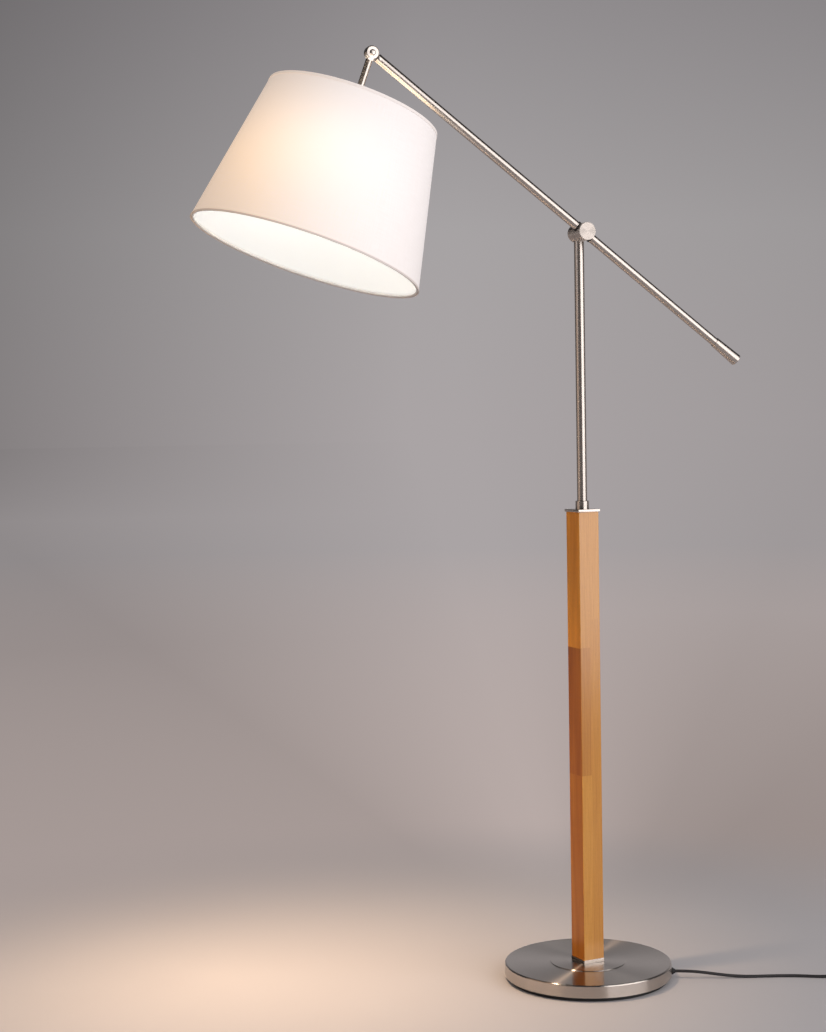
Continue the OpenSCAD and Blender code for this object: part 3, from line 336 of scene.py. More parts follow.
def make_oak():
    """Oiled oak in two glued staves, each made of lengths that differ a little in tone. The grain runs up."""
    made, tree, shader = material("oiled_oak_staves", IOR=1.5)
    # The column's own frame: the pattern turns back with it.
    turned = add(tree, "ShaderNodeMapping", {"Vector": place_on(tree),
                 "Rotation": (0, 0, math.radians(-COLUMN_TURN))}).outputs[0]
    parts = add(tree, "ShaderNodeSeparateXYZ", {0: turned})
    across, height = parts.outputs[0], parts.outputs[2]
    right_stave = math_of(tree, "GREATER_THAN", across, 0.0)
    share_up = spread(tree, height, COLUMN_LOW * MM, COLUMN_TOP * MM, 0, 1)
    tones = [stave_tone(tree, share_up, lengths) for lengths in OAK_LENGTHS]
    tone = mixed(tree, right_stave, *tones)
    tone = add(tree, "ShaderNodeSeparateColor", {0: tone}).outputs[0]
    # Each length of wood reads its own part of the pattern.
    own = add(tree, "ShaderNodeCombineXYZ", {0: math_of(tree, "MULTIPLY", tone, 3.7), 2: tone}).outputs[0]
    spot = vector_of(tree, "ADD", turned, own)
    # Year rings wander a little and are stretched along the grain. Pores are about 0.3 mm wide and 8 mm long.
    wander = noise(tree, vector_of(tree, "MULTIPLY", spot, (30, 30, 2.2)), 1.0, 2.0)
    wander = math_of(tree, "MULTIPLY", wander, 0.008)
    ring_place = vector_of(tree, "LENGTH", vector_of(tree, "MULTIPLY", spot, (1, 0.6, 0.004)))
    ring_place = math_of(tree, "ADD", ring_place, wander)
    rings = math_of(tree, "FRACT", math_of(tree, "MULTIPLY", ring_place, 1 / RING_GAP))
    rings = spread(tree, math_of(tree, "PINGPONG", rings, 0.5), 0, 0.5, 0, 1)
    streaks = noise(tree, vector_of(tree, "MULTIPLY", spot, (700, 700, 14)), 1.0, 3.0, 0.6)
    pores = noise(tree, vector_of(tree, "MULTIPLY", spot, (3000, 3000, 120)), 1.0, 2.0)
    pores = spread(tree, pores, 0.56, 0.7, 0, 1)
    grain = spread(tree, weighed(tree, 0.35, rings, streaks), 0.25, 0.75, 0, 1)
    light = mixed(tree, tone, "#BE7E26", "#D69B3E")
    dark = mixed(tree, tone, "#9E5E12", "#BC7C20")
    wood = mixed(tree, grain, dark, light)
    # The board on the left side has painted shade: its colour is made redder, its lower lengths darker and its top
    # length lighter, for how the light falls on that side. It is also less polished.
    shade_painted_board = math_of(tree, "LESS_THAN", across, -(COLUMN_W / 2 - SIDE_SKIN) * MM)
    painted_light_top = math_of(tree, "GREATER_THAN", share_up, OAK_LENGTHS[0][-1][0])
    painted_side_colour = mixed(tree, painted_light_top, *(vector_of(tree, "MULTIPLY", wood, factor) for factor in (SIDE_SHADE_LOW, SIDE_LIGHT_TOP)))
    wood = mixed(tree, shade_painted_board, wood, painted_side_colour)
    wood = mixed(tree, math_of(tree, "MULTIPLY", pores, 0.35), wood, "#7A4A20")
    fill(tree, shader, {
        "Base Color": wood,
        "Roughness": spread(tree, grain, 0, 1, 0.5, 0.4),
        "Specular IOR Level": 0.2,
        "Coat Weight": spread(tree, shade_painted_board, 0, 1, 0.9, 0.3),
        "Coat Roughness": 0.2,
        "Coat IOR": 1.7
    })
    bumped(tree, shader, math_of(tree, "SUBTRACT", grain, pores), 0.00006, 0.5)
    return made


OAK = make_oak()

# The bulb's middle, and the place that the painted glow is centred on: a little beside the bulb's middle, to its -Y
# side, in metres
bulb_place = HEAD @ Vector((0, 0, BULB_CENTRE * MM))
glow_place = bulb_place + Vector((-0.02, -0.065, 0))
# How far from there a cloth has the strength given for it, how far left and right of the bulb the glow changes from
# one side's to the other's, how steeply it does, and the share of it that passes the ring wire
GLOW_REACH, GLOW_LEFT, GLOW_RIGHT, GLOW_STEEP, PAST_WIRE = 0.17, 0.17, 0.13, 1.6, 0.45


def at_wire(tree):
    """1 where the lower ring wire lies behind the cloth and stops the light, and 0 above it."""
    down = vector_of(tree, "DOT_PRODUCT", vector_of(tree, "SUBTRACT", place_on(tree), knuckle), rod_way)
    edge = (SHADE_DROP + SHADE_H - WIRE_D) * MM
    return spread(tree, down, edge, edge + 0.0006, 0, 1)


def lit(tree, power, far_side, warm_side, strengths):
    """How brightly the bulb shows through at each point: a painted glow. It falls off with a power of the distance.
    The glow is painted warmer on the side away from the post and paler on the post's side, which stands for how the
    lamps light the two sides, and the strengths are that side's and the other's."""
    spot = place_on(tree)
    gap = vector_of(tree, "DISTANCE", spot, tuple(glow_place))
    near = math_of(tree, "POWER", math_of(tree, "DIVIDE", GLOW_REACH, gap), power)
    across = add(tree, "ShaderNodeSeparateXYZ", {0: spot}).outputs[0]
    side = spread(tree, across, bulb_place.x - GLOW_LEFT, bulb_place.x + GLOW_RIGHT, 0, 1)
    faded = math_of(tree, "POWER", math_of(tree, "SUBTRACT", 1.0, side), GLOW_STEEP)
    level = spread(tree, faded, 0, 1, strengths[1], strengths[0])
    level = math_of(tree, "MULTIPLY", level, spread(tree, at_wire(tree), 0, 1, 1.0, PAST_WIRE))
    return {"Emission Color": mixed(tree, side, warm_side, far_side),
            "Emission Strength": math_of(tree, "MULTIPLY", near, level)}


def make_cloth(name, colour, slub, *glow):
    """Polyester and cotton cloth glued to a stiff liner: a plain weave, with slubs in both directions. Its glow is
    painted light.
    """
    made, tree, shader = material(name, Roughness=0.85, IOR=1.45, Sheen_Weight=0.25, Sheen_Roughness=0.5)
    map_of = add(tree, "ShaderNodeUVMap", uv_map="UVMap").outputs[0]
    # The map's u goes round the shade, and half of its v goes down the outside. Threads are drawn 1 mm apart.
    round_it, down_it = math.pi * (SHADE_TOP_D + SHADE_BOTTOM_D) / 2, SHADE_H * 2
    threads = vector_of(tree, "MULTIPLY", map_of, (round_it, down_it, 1))
    # Slubs run along the threads for about 30 of them.
    slubs = [noise(tree, vector_of(tree, "MULTIPLY", threads, stretch), 1.0, 2.0, 0.6)
             for stretch in ((1.0, 0.03, 1), (0.03, 1.0, 1))]
    halves = add(tree, "ShaderNodeSeparateXYZ", {0: threads})
    waves = [math_of(tree, "SINE", math_of(tree, "MULTIPLY", halves.outputs[i], math.tau)) for i in (0, 1)]
    weave = math_of(tree, "MULTIPLY", *waves)
    cloudy = math_of(tree, "ADD", *slubs)
    height = math_of(tree, "ADD", math_of(tree, "MULTIPLY", weave, 0.4), cloudy)
    plain = mixed(tree, spread(tree, cloudy, 0.7, 1.3, 0, 1), slub, colour)
    # The colour is painted darker where the lower ring wire lies behind the cloth: a painted shadow of the wire.
    fill(tree, shader, {
        "Base Color": mixed(tree, math_of(tree, "MULTIPLY", at_wire(tree), 0.75), plain, "#C9C0BA"),
        **lit(tree, *glow)
    })
    bumped(tree, shader, height, 0.00015, 0.4)
    return made


WHITE_GLOW, WARM_GLOW, LINING_GLOW = "#E8F3FF", "#FFCE90", "#E6F2FC"
CLOTH = make_cloth("shade_cloth_plain_weave", "#F6F2F0", "#EFEAE7", 1.5, WHITE_GLOW, WARM_GLOW, (0.45, 0.06))
LINING = make_cloth("shade_lining_styrene", "#F6F3EC", "#F1EDE4", 0.4, LINING_GLOW, LINING_GLOW, (0.37, 0.37))
TRIM = make_cloth("shade_rim_tape", "#F3EDE9", "#E9E1DC", 1.5, WHITE_GLOW, WARM_GLOW, (0.43, 0.05))


def make_globe():
    """Opal glass, lit: its light is even all over, so it is emission with a thin clear gloss on top."""
    made, tree, shader = material("opal_glass_lit", Roughness=0.25, IOR=1.5, Base_Color=linear("#F7F1E4"))
    soft = noise(tree, place_on(tree), 40.0)
    fill(tree, shader, {
        "Emission Color": linear("#FFFBF4"),
        "Emission Strength": spread(tree, soft, 0.3, 0.7, 5.9, 6.5)
    })
    return made


GLOBE = make_globe()


def kept(obj, body, slot, *replaced):
    """A finished piece: it rides on a body, and may stand for CAD nodes, which it hides. Its slot is not used."""
    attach(obj, body)
    if replaced:
        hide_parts(*replaced)
    return obj


def geometry_tree(name, **inputs):
    """A Geometry Nodes tree with named inputs, and its input node. Underscores in a name stand for spaces."""
    tree = bpy.data.node_groups.new(name, "GeometryNodeTree")
    tree.interface.new_socket("Geometry", in_out="OUTPUT", socket_type="NodeSocketGeometry")
    tree.interface.new_socket("Geometry", in_out="INPUT", socket_type="NodeSocketGeometry")
    for title, value in inputs.items():
        kind = "NodeSocketInt" if isinstance(value, int) else "NodeSocketFloat"
        socket = tree.interface.new_socket(title.replace("_", " "), in_out="INPUT", socket_type=kind)
        socket.default_value = value
    tree.interface.new_socket("Material", in_out="INPUT", socket_type="NodeSocketMaterial")
    return tree, add(tree, "NodeGroupInput")


def end_tree(tree, given, shape):
    """Ends a tree: instances made real, smooth faces, and the material."""
    real = add(tree, "GeometryNodeRealizeInstances", {0: shape}).outputs[0]
    smooth = add(tree, "GeometryNodeSetShadeSmooth", {0: real}).outputs[0]
    dressed = {0: smooth, "Material": given.outputs["Material"]}
    dressed = add(tree, "GeometryNodeSetMaterial", dressed).outputs[0]
    add(tree, "NodeGroupOutput", {0: dressed})


def grown(name, tree, frame_at, mat, mesh=None, sharp=40, **values):
    """Runs a tree on a mesh and keeps the result as a plain mesh, set in its place."""
    obj = linked(name, mesh or bpy.data.meshes.new(name))
    shape = obj.modifiers.new("shape", "NODES")
    shape.node_group = tree
    titles = {item.name: item.identifier for item in tree.interface.items_tree if item.in_out == "INPUT"}
    for title, value in values.items():
        shape[titles[title.replace("_", " ")]] = value
    shape[titles["Material"]] = mat
    result = with_modifiers(obj)
    obj.modifiers.clear()
    obj.data = result
    result.transform(frame_at)
    outward(result)
    result.set_sharp_from_angle(angle=math.radians(sharp))
    return obj


# Points nearer than this are one point, in metres.
DOUBLE = 1e-6


def outward(mesh):
    """Merges doubles and turns every face of a closed mesh outwards."""
    work = bmesh.new()
    work.from_mesh(mesh)
    bmesh.ops.remove_doubles(work, verts=work.verts, dist=DOUBLE)
    bmesh.ops.recalc_face_normals(work, faces=work.faces)
    work.to_mesh(mesh)
    work.free()


def with_modifiers(obj):
    """A plain mesh of the object as its modifiers make it."""
    bpy.context.view_layer.update()
    return bpy.data.meshes.new_from_object(obj.evaluated_get(bpy.context.evaluated_depsgraph_get()))


def mesh_from(work, name):
    """Ends a work mesh and returns what it held as a named mesh."""
    mesh = bpy.data.meshes.new(name)
    work.to_mesh(mesh)
    work.free()
    return mesh


def skinned(work, loops):
    """Joins closed loops of points, each to the next, with a band of faces."""
    for low, high in zip(loops, loops[1:]):
        for k in range(len(low)):
            after = (k + 1) % len(low)
            work.faces.new((low[k], low[after], high[after], high[k]))


def path_mesh(name, points):
    """A line through points in millimetres."""
    mesh = bpy.data.meshes.new(name)
    mesh.from_pydata([Vector(p) * MM for p in points], [(i, i + 1) for i in range(len(points) - 1)], [])
    return mesh


def smoothed(points, step):
    """A curve through the points, with a point about every step, as a flexible cord lies."""
    points = [Vector(p) for p in points]
    fine = []
    for i in range(len(points) - 1):
        before, start = points[max(i - 1, 0)], points[i]
        end, after = points[i + 1], points[min(i + 2, len(points) - 1)]
        count = max(1, round((end - start).length / step))
        for k in range(count):
            t = k / count
            line = 2 * start + (end - before) * t
            bend = (2 * before - 5 * start + 4 * end - after) * t * t
            twist = (3 * start - before - 3 * end + after) * t ** 3
            fine.append(0.5 * (line + bend + twist))
    return fine + [points[-1]]


def make_flex_tree():
    """A round flex that follows a path."""
    tree, given = geometry_tree("round_flex", Diameter=0.005, Sides=16)
    line = add(tree, "GeometryNodeMeshToCurve", {0: given.outputs["Geometry"]}).outputs[0]
    radius = math_of(tree, "MULTIPLY", given.outputs["Diameter"], 0.5)
    ring = add(tree, "GeometryNodeCurvePrimitiveCircle",
               {"Resolution": given.outputs["Sides"], "Radius": radius}).outputs[0]
    tube = add(tree, "GeometryNodeCurveToMesh",
               {"Curve": line, "Profile Curve": ring, "Fill Caps": True}).outputs[0]
    end_tree(tree, given, tube)
    return tree


FLEX_TREE = make_flex_tree()


def make_flex(name, points, *replaced):
    """A mains flex along points in the cord's frame."""
    obj = grown(name, FLEX_TREE, CORD, FLEX, path_mesh(name, points), Diameter=CORD_D * MM, Sides=16)
    return kept(obj, "stand", "cord_black", *replaced)


# A cord's drawn points are this far apart, in millimetres. The coil has this many for each turn. It climbs within a
# part of a turn, and its radius turns back with a small rounding.
CORD_STEP, PER_TURN, CLIMB_TURN, ROUNDING = 3, 48, 0.5, 0.002


def ease(x):
    """A smooth step from 0 to 1."""
    x = min(max(x, 0), 1)
    return x * x * (3 - 2 * x)


def coil_points():
    """The coil winds in, climbs one layer in the half turn where it reverses, and winds out again."""
    points = []
    middle = COIL_TURNS / 2
    for i in range(COIL_TURNS * PER_TURN + 1):
        t = i / PER_TURN
        r = COIL_R + COIL_STEP * math.sqrt((t - middle) ** 2 + ROUNDING)
        z = COIL_LOW + COIL_LAYER * ease((t - middle + CLIMB_TURN / 2) / CLIMB_TURN)
        points.append(Vector((COIL_X + r * math.cos(math.tau * t), COIL_Y + r * math.sin(math.tau * t), z)))
    return points


out_points = smoothed(ROUTE_OUT, CORD_STEP)
far_points = smoothed(ROUTE_LINK, CORD_STEP) + coil_points() + smoothed(ROUTE_TAIL, CORD_STEP)
near_flex = make_flex("cord_to_switch", out_points, "cord_floor")
far_flex = make_flex("cord_to_plug", far_points, "cord_link", "cord_coil", "cord_tail")


def make_sleeve_tree():
    """A tapered sleeve with rounded rims. Its section is one closed loop, drawn as a grid and bent round."""
    tree, given = geometry_tree("tapered_sleeve", Top_Radius=0.15, Bottom_Radius=0.2, Height=0.26,
                                Thickness=0.001, Around=160, Along=60, Rim=30.0)
    count = [math_of(tree, "ADD", given.outputs[title], 1.0) for title in ("Around", "Along")]
    grid = add(tree, "GeometryNodeMeshGrid", {0: 1.0, 1: 1.0, 2: count[0], 3: count[1]})
    place = add(tree, "GeometryNodeInputPosition").outputs[0]
    place = add(tree, "ShaderNodeSeparateXYZ", {0: place})
    turn, loop = (math_of(tree, "MULTIPLY", place.outputs[i], math.tau) for i in (0, 1))
    share = math_of(tree, "MULTIPLY_ADD", math_of(tree, "COSINE", loop), -0.5, 0.5)
    side = math_of(tree, "MULTIPLY", math_of(tree, "SINE", loop), given.outputs["Rim"])
    side = add(tree, "ShaderNodeClamp", {0: side, 1: -1.0, 2: 1.0}).outputs[0]
    offset = math_of(tree, "MULTIPLY", side, given.outputs["Thickness"])
    offset = math_of(tree, "MULTIPLY", offset, 0.5)
    span = math_of(tree, "SUBTRACT", given.outputs["Bottom Radius"], given.outputs["Top Radius"])
    radius = math_of(tree, "MULTIPLY_ADD", span, share, given.outputs["Top Radius"])
    radius = math_of(tree, "ADD", radius, offset)
    bent = add(tree, "ShaderNodeCombineXYZ", {
        0: math_of(tree, "MULTIPLY", radius, math_of(tree, "COSINE", turn)),
        1: math_of(tree, "MULTIPLY", radius, math_of(tree, "SINE", turn)),
        2: math_of(tree, "MULTIPLY", share, given.outputs["Height"])
    }).outputs[0]
    mapped = add(tree, "GeometryNodeStoreNamedAttribute", {0: grid.outputs[0], "Name": "UVMap",
                 "Value": grid.outputs[1]}, data_type="FLOAT2", domain="CORNER").outputs[0]
    end_tree(tree, given, add(tree, "GeometryNodeSetPosition", {0: mapped, "Position": bent}).outputs[0])
    return tree


SLEEVE_TREE = make_sleeve_tree()
# The glue between the shade's layers, and how far the lining ends inside the cloth's rims, in millimetres
GLUE_T, LINER_IN = 0.05, 5.5


def make_sleeve(name, mat, under, thick, low, high, **values):
    """A sleeve whose middle lies a distance under the shade's outer face, between two depths."""
    place_at = HEAD @ Matrix.Translation((0, 0, low * MM))
    top, bottom = (shade_r(s) - under - thick / 2 for s in (low, high))
    return grown(name, SLEEVE_TREE, place_at, mat, Top_Radius=top * MM, Bottom_Radius=bottom * MM,
                 Height=(high - low) * MM, Thickness=thick * MM, sharp=80, **values)


def make_shade():
    """The cloth, its lining and its two tapes."""
    cloth = kept(make_sleeve("shade_cloth", CLOTH, 0, FABRIC_T, SHADE_DROP, SHADE_DROP + SHADE_H), "head",
                 "shade_cloth", "shade_fabric")
    lining = kept(make_sleeve("shade_inner_liner", LINING, FABRIC_T + GLUE_T, LINER_T, SHADE_DROP + LINER_IN,
                              SHADE_DROP + SHADE_H - LINER_IN), "head", "shade_lining", "shade_liner")
    for name, low in (("shade_top_tape", SHADE_DROP), ("shade_bottom_tape", SHADE_DROP + SHADE_H - TRIM_H)):
        tape = make_sleeve(name, TRIM, -TRIM_T - GLUE_T, TRIM_T, low, low + TRIM_H, Along=16, Rim=3.0)
        kept(tape, "head", "shade_trim", "shade_trims")


make_shade()


def make_lap():
    """The cloth's lap, where its two ends are glued: a flat strip down the back."""
    width, thick, facets, rows, clear, sunk = 12 * MM, 0.5 * MM, 5, 24, 0.3, 0.1
    lap = bmesh.new()
    loops = []
    for i in range(rows + 1):
        s = SHADE_DROP + TRIM_H + clear + (SHADE_H - 2 * TRIM_H - 2 * clear) * i / rows
        inner = (shade_r(s) + FABRIC_T / 2 - sunk) * MM
        section = []
        for radius, angles in ((inner, range(facets + 1)), (inner + thick, range(facets, -1, -1))):
            for k in angles:
                turn = math.pi / 2 + width / inner * (k / facets - 0.5)
                spot = Vector((radius * math.cos(turn), radius * math.sin(turn), s * MM))
                section.append(lap.verts.new(HEAD @ spot))
        loops.append(section)
    skinned(lap, loops)
    for end in (loops[0], loops[-1]):
        for k in range(facets):
            lap.faces.new((end[k], end[k + 1], end[-2 - k], end[-1 - k]))
    bmesh.ops.recalc_face_normals(lap, faces=lap.faces)
    # The map continues the sleeve's, so that the weave keeps its scale.
    unwrapped = lap.loops.layers.uv.new("UVMap")
    for face in lap.faces:
        for corner in face.loops:
            spot = HEAD.inverted() @ corner.vert.co
            down = (spot.z / MM - SHADE_DROP) / SHADE_H / 2
            corner[unwrapped].uv = (math.atan2(spot.y, spot.x) / math.tau, down)
    mesh = mesh_from(lap, "shade_cloth_lap")
    mesh.materials.append(CLOTH)
    mesh.shade_smooth()
    mesh.set_sharp_from_angle(angle=math.radians(50))
    kept(linked("shade_cloth_lap", mesh), "head", "shade_cloth")


make_lap()


def make_strap():
    """A hook-and-loop strap round the coil's turns, its end lapped over its start."""
    # How far it clears the turns at their sides and above them, its corners' radius, and the points in a corner
    clear, above, corner, corner_points = 0.2, 0.15, 3.0, 7
    inside = COIL_R + COIL_STEP * 0.5 - CORD_D / 2
    outside = COIL_R + COIL_STEP * 2.5 + CORD_D / 2
    low, high = COIL_LOW - CORD_D / 2, COIL_LOW + COIL_LAYER + CORD_D / 2 + above
    left, right = COIL_X - outside - clear, COIL_X - inside + clear
    corners = []
    for cx, cz, begin in ((right - corner, high - corner, 90), (right - corner, low + corner, 0),
                          (left + corner, low + corner, -90), (left + corner, high - corner, -180)):
        for degrees in (begin - 90 * k / (corner_points - 1) for k in range(corner_points)):
            angle = math.radians(degrees)
            corners.append((cx + corner * math.cos(angle), cz + corner * math.sin(angle), degrees))
    # The end climbs on to the start and covers 9 mm of it.
    middle, lapped = (left + right) / 2, high + TIE_T
    route = [(middle - 3, high, 90)] + corners + [(middle - 2, lapped, 90), (middle + 6, lapped, 90)]
    strap = bmesh.new()
    loops = []
    for x, z, degrees in route:
        out = Vector((math.cos(math.radians(degrees)), 0, math.sin(math.radians(degrees))))
        section = []
        # Across, the strap is flat inside, and its outer edges are eased.
        for side, lift in ((-1, 0), (-1, 0.6), (-0.94, 1), (0.94, 1), (1, 0.6), (1, 0)):
            spot = Vector((x, COIL_Y + side * TIE_W / 2, z)) + out * lift * TIE_T
            section.append(strap.verts.new(CORD @ (spot * MM)))
        loops.append(section)
    skinned(strap, loops)
    strap.faces.new(loops[0])
    strap.faces.new(loops[-1])
    bmesh.ops.recalc_face_normals(strap, faces=strap.faces)
    mesh = mesh_from(strap, "coil_strap")
    mesh.materials.append(STRAP)
    mesh.shade_smooth()
    mesh.set_sharp_from_angle(angle=math.radians(35))
    kept(linked("coil_strap", mesh), "stand", "tie_black", "cord_tie")


make_strap()


def make_round_tree():
    """Copies of a shape set round a circle, in rows along its axis."""
    tree, given = geometry_tree("set_round_a_circle", Radius=0.075, Count=3, Rows=1, Row_Step=0.01, First_Turn=0.0)
    circle = add(tree, "GeometryNodeMeshCircle", {"Vertices": given.outputs["Count"],
                 "Radius": given.outputs["Radius"]}).outputs[0]
    rise, first_turn = (add(tree, "ShaderNodeCombineXYZ", {2: given.outputs[title]}).outputs[0]
                        for title in ("Row Step", "First Turn"))
    rows = add(tree, "GeometryNodeMeshLine", {"Count": given.outputs["Rows"], "Offset": rise}).outputs[0]
    every = add(tree, "GeometryNodeInstanceOnPoints", {"Points": rows, "Instance": circle}).outputs[0]
    every = add(tree, "GeometryNodeRealizeInstances", {0: every}).outputs[0]
    every = add(tree, "GeometryNodeTransform", {"Geometry": every, "Rotation": first_turn}).outputs[0]
    spot = add(tree, "ShaderNodeSeparateXYZ", {0: add(tree, "GeometryNodeInputPosition").outputs[0]})
    facing = math_of(tree, "ARCTAN2", spot.outputs[1], spot.outputs[0])
    facing = add(tree, "ShaderNodeCombineXYZ", {2: facing}).outputs[0]
    facing = add(tree, "FunctionNodeEulerToRotation", {0: facing}).outputs[0]
    copies = add(tree, "GeometryNodeInstanceOnPoints", {"Points": every, "Instance": given.outputs["Geometry"],
                 "Rotation": facing}).outputs[0]
    end_tree(tree, given, copies)
    return tree


ROUND_TREE = make_round_tree()


def rod_of(radii, sides=24):
    """A closed round shape as a work mesh, from its radii at heights, in millimetres."""
    shape = bmesh.new()
    rings = []
    for radius, height in radii:
        turns = [math.tau * k / sides for k in range(sides)]
        rings.append([shape.verts.new((radius * math.cos(t), radius * math.sin(t), height)) for t in turns])
    skinned(shape, rings)
    shape.faces.new(rings[0])
    shape.faces.new(rings[-1])
    bmesh.ops.recalc_face_normals(shape, faces=shape.faces)
    return shape


def make_screws():
    """Three pan-head screws under the base, with a cross recess."""
    top, head_r, shaft_r = SCREW_HEAD_H, SCREW_HEAD_D / 2, SCREW_D / 2
    screw = rod_of([(head_r - 1.2, 0), (head_r - 0.4, 0.35), (head_r, 1.1), (head_r, top), (shaft_r, top),
                    (shaft_r, top + SCREW_LEN - 1.5), (shaft_r - 1, top + SCREW_LEN)])
    body = mesh_from(screw, "screw")
    cut = bmesh.new()
    # The two arms differ in depth, so that they have no face in one plane.
    for long, wide, deep in ((4.4, 1.1, 2.2), (1.1, 4.4, 2.3)):
        box = bmesh.ops.create_cube(cut, size=1.0)["verts"]
        bmesh.ops.scale(cut, vec=(long, wide, deep), verts=box)
    driver, screw_object = linked("recess", mesh_from(cut, "recess")), linked("screw", body)
    recess = screw_object.modifiers.new("recess", "BOOLEAN")
    recess.object, recess.operation, recess.solver, recess.use_self = driver, "DIFFERENCE", "EXACT", True
    mesh = with_modifiers(screw_object)
    mesh.transform(Matrix.Scale(MM, 4))
    for spare in (driver, screw_object):
        bpy.data.objects.remove(spare)
    low = Matrix.Translation((0, 0, (FOOT_H - SCREW_HEAD_H) * MM))
    made = grown("recessed_screws", ROUND_TREE, low, ZINC, mesh, Radius=SCREW_CIRCLE_D / 2 * MM, Count=3, Rows=1,
                 First_Turn=math.radians(90))
    kept(made, "stand", "zinc_steel", "bottom_screws")


make_screws()


def make_ring_grips():
    """Ribs on the two rings that hold the shade's spider, for the fingers."""
    ribs, sunk = 40, 0.2
    rib = rod_of([(0.5, 0), (0.85, 0.3), (0.85, SHADE_RING_H - 0.3), (0.5, SHADE_RING_H)], 8)
    mesh = mesh_from(rib, "rib")
    mesh.transform(Matrix.Scale(MM, 4))
    painted_light_top = SHADE_DROP + FITTER_DEPTH - SHADE_RING_H
    place_at = HEAD @ Matrix.Translation((0, 0, painted_light_top * MM))
    made = grown("shade_ring_grips", ROUND_TREE, place_at, PLASTIC, mesh, Count=ribs, Rows=2,
                 Radius=(SHADE_RING_D / 2 - sunk) * MM, Row_Step=(SHADE_RING_H + FITTER_T) * MM)
    kept(made, "head", "black_plastic")


make_ring_grips()


# Faces that differ by less than the first angle are one face, and edges over the second are sharp, in degrees.
FLAT_ANGLE, EDGE_ANGLE = 0.4, 38


def softened(name, node, body, width, mats, slot, pick=None):
    """A node's shape with its sharp edges broken, as a real edge is. pick gives a face's material number."""
    work = bmesh.new()
    work.from_mesh(nodes[node].data)
    bmesh.ops.remove_doubles(work, verts=work.verts, dist=DOUBLE)
    bmesh.ops.dissolve_limit(work, angle_limit=math.radians(FLAT_ANGLE), verts=work.verts, edges=work.edges)
    for face in work.faces:
        face.smooth = True
        face.material_index = pick(face.calc_center_median()) if pick else 0
    mesh = mesh_from(work, name)
    obj = linked(name, mesh)
    for mat in mats:
        mesh.materials.append(mat)
    bevel = obj.modifiers.new("edges", "BEVEL")
    bevel.width, bevel.segments, bevel.limit_method = width * MM, 2, "ANGLE"
    bevel.angle_limit, bevel.harden_normals = math.radians(EDGE_ANGLE), True
    obj.data = with_modifiers(obj)
    obj.modifiers.clear()
    return kept(obj, body, slot, node)


def on_pins(spot):
    """Whether a spot of the plug lies on its two pins, beyond the body's end."""
    return int((CORD.inverted() @ spot).y > (PLUG_Y + RELIEF_LEN + PLUG_BODY_LEN + 0.2) * MM)


softened("top_plate_eased", "top_plate", "stand", 0.35, [STEEL_PLATE], "satin_steel")
softened("foot_collar_eased", "foot_collar", "stand", 0.35, [STEEL_PLATE], "satin_steel")
softened("arm_knuckle_eased", "arm_knuckle", "arm", 0.4, [STEEL_HINGE], "satin_steel")
softened("rod_knuckle_eased", "rod_knuckle", "head", 0.4, [STEEL_HINGE], "satin_steel")
softened("switch_housing", "switch_shells", "stand", 0.4, [PLASTIC], "black_plastic")
softened("switch_key_cap", "switch_button", "switch_key", 0.3, [PLASTIC], "black_plastic")
softened("plug_moulding", "plug", "stand", 0.5, [PLASTIC, NICKEL], "black_plastic", on_pins)

# What each node is made of. A node that a piece stands for has its finish too.
FINISHES = {
    STEEL_BASE: ["base_cover"],
    STEEL_POST: ["post_collar", "post_tube"],
    STEEL_DRUM: ["drum_rear_half", "drum_front_half", "drum_end_cap"],
    STEEL_ARM: ["arm_tube", "tail_weight"],
    STEEL_ROD: ["down_rod"],
    STEEL_HINGE: ["arm_knuckle", "rod_knuckle", "knuckle_screw", "knuckle_nut"],
    STEEL_PLATE: ["foot_collar", "top_plate"],
    OAK: ["wood_column"],
    ZINC: ["bottom_screws", "tie_tube", "tie_nut", "tie_washer", "pivot_bolt", "spring_washer", "tail_stud",
           "switch_spring"],
    BLACK_STEEL: ["bottom_plate", "arm_grub_screw"],
    BRASS: ["post_insert", "tail_plug", "holder_nipple", "socket_shell", "centre_contact"],
    CAP_METAL: ["bulb_cap"],
    GLOBE: ["bulb_globe"],
    RUBBER: ["foot_mat", "cord_bush"],
    FIBRE: ["friction_washer", "arm_bushes", "knuckle_washer"],
    PLASTIC: ["holder_cap", "holder_body", "shade_rings", "switch_shells", "switch_reliefs", "switch_button",
              "plug"],
    GREY_PLASTIC: ["switch_block"],
    STRAP: ["cord_tie"],
    SHEATH: ["inner_cable", "arm_cable", "rod_cable"],
    ENAMEL: ["shade_spider", "shade_wires"],
    CONCRETE: ["base_weight"]
}
for mat, names in FINISHES.items():
    for name in names:
        nodes[name].data.materials.clear()
        nodes[name].data.materials.append(mat)


# The floor's radius in metres, which puts its edge at the horizon, its corners, and the tone that it shares there
# with the backdrop
FLOOR_R, FLOOR_SIDES, HORIZON = 90.0, 96, "#AAA4A5"
# How bright the picture's left and right parts are: where a change starts and ends across them, and its two values
LEFT_SHADE, RIGHT_SHADE = (0.05, 0.33, -0.55, 0), (0.36, 0.54, 1.0, 0.86)
# The direction of the backdrop from the lamp, and how metal sees its brightness change beside it
BACKDROP_WAY, BACKDROP_SHADE = (0.42, 0.91, 0), (0.6, 0.92, 0.3, 1.4)
# How far inside the shade's mouth and top the bulb's lamps stand, in millimetres, the way that the light leaves by
# the mouth, and how far from the mouth's middle the lit lining shows, in metres
MOUTH_IN, CROWN_IN, BEAM_WAY, LIT_SIDE = 20, 24, (-0.08, 0.22, -1), (-0.19, 0.1, 0)


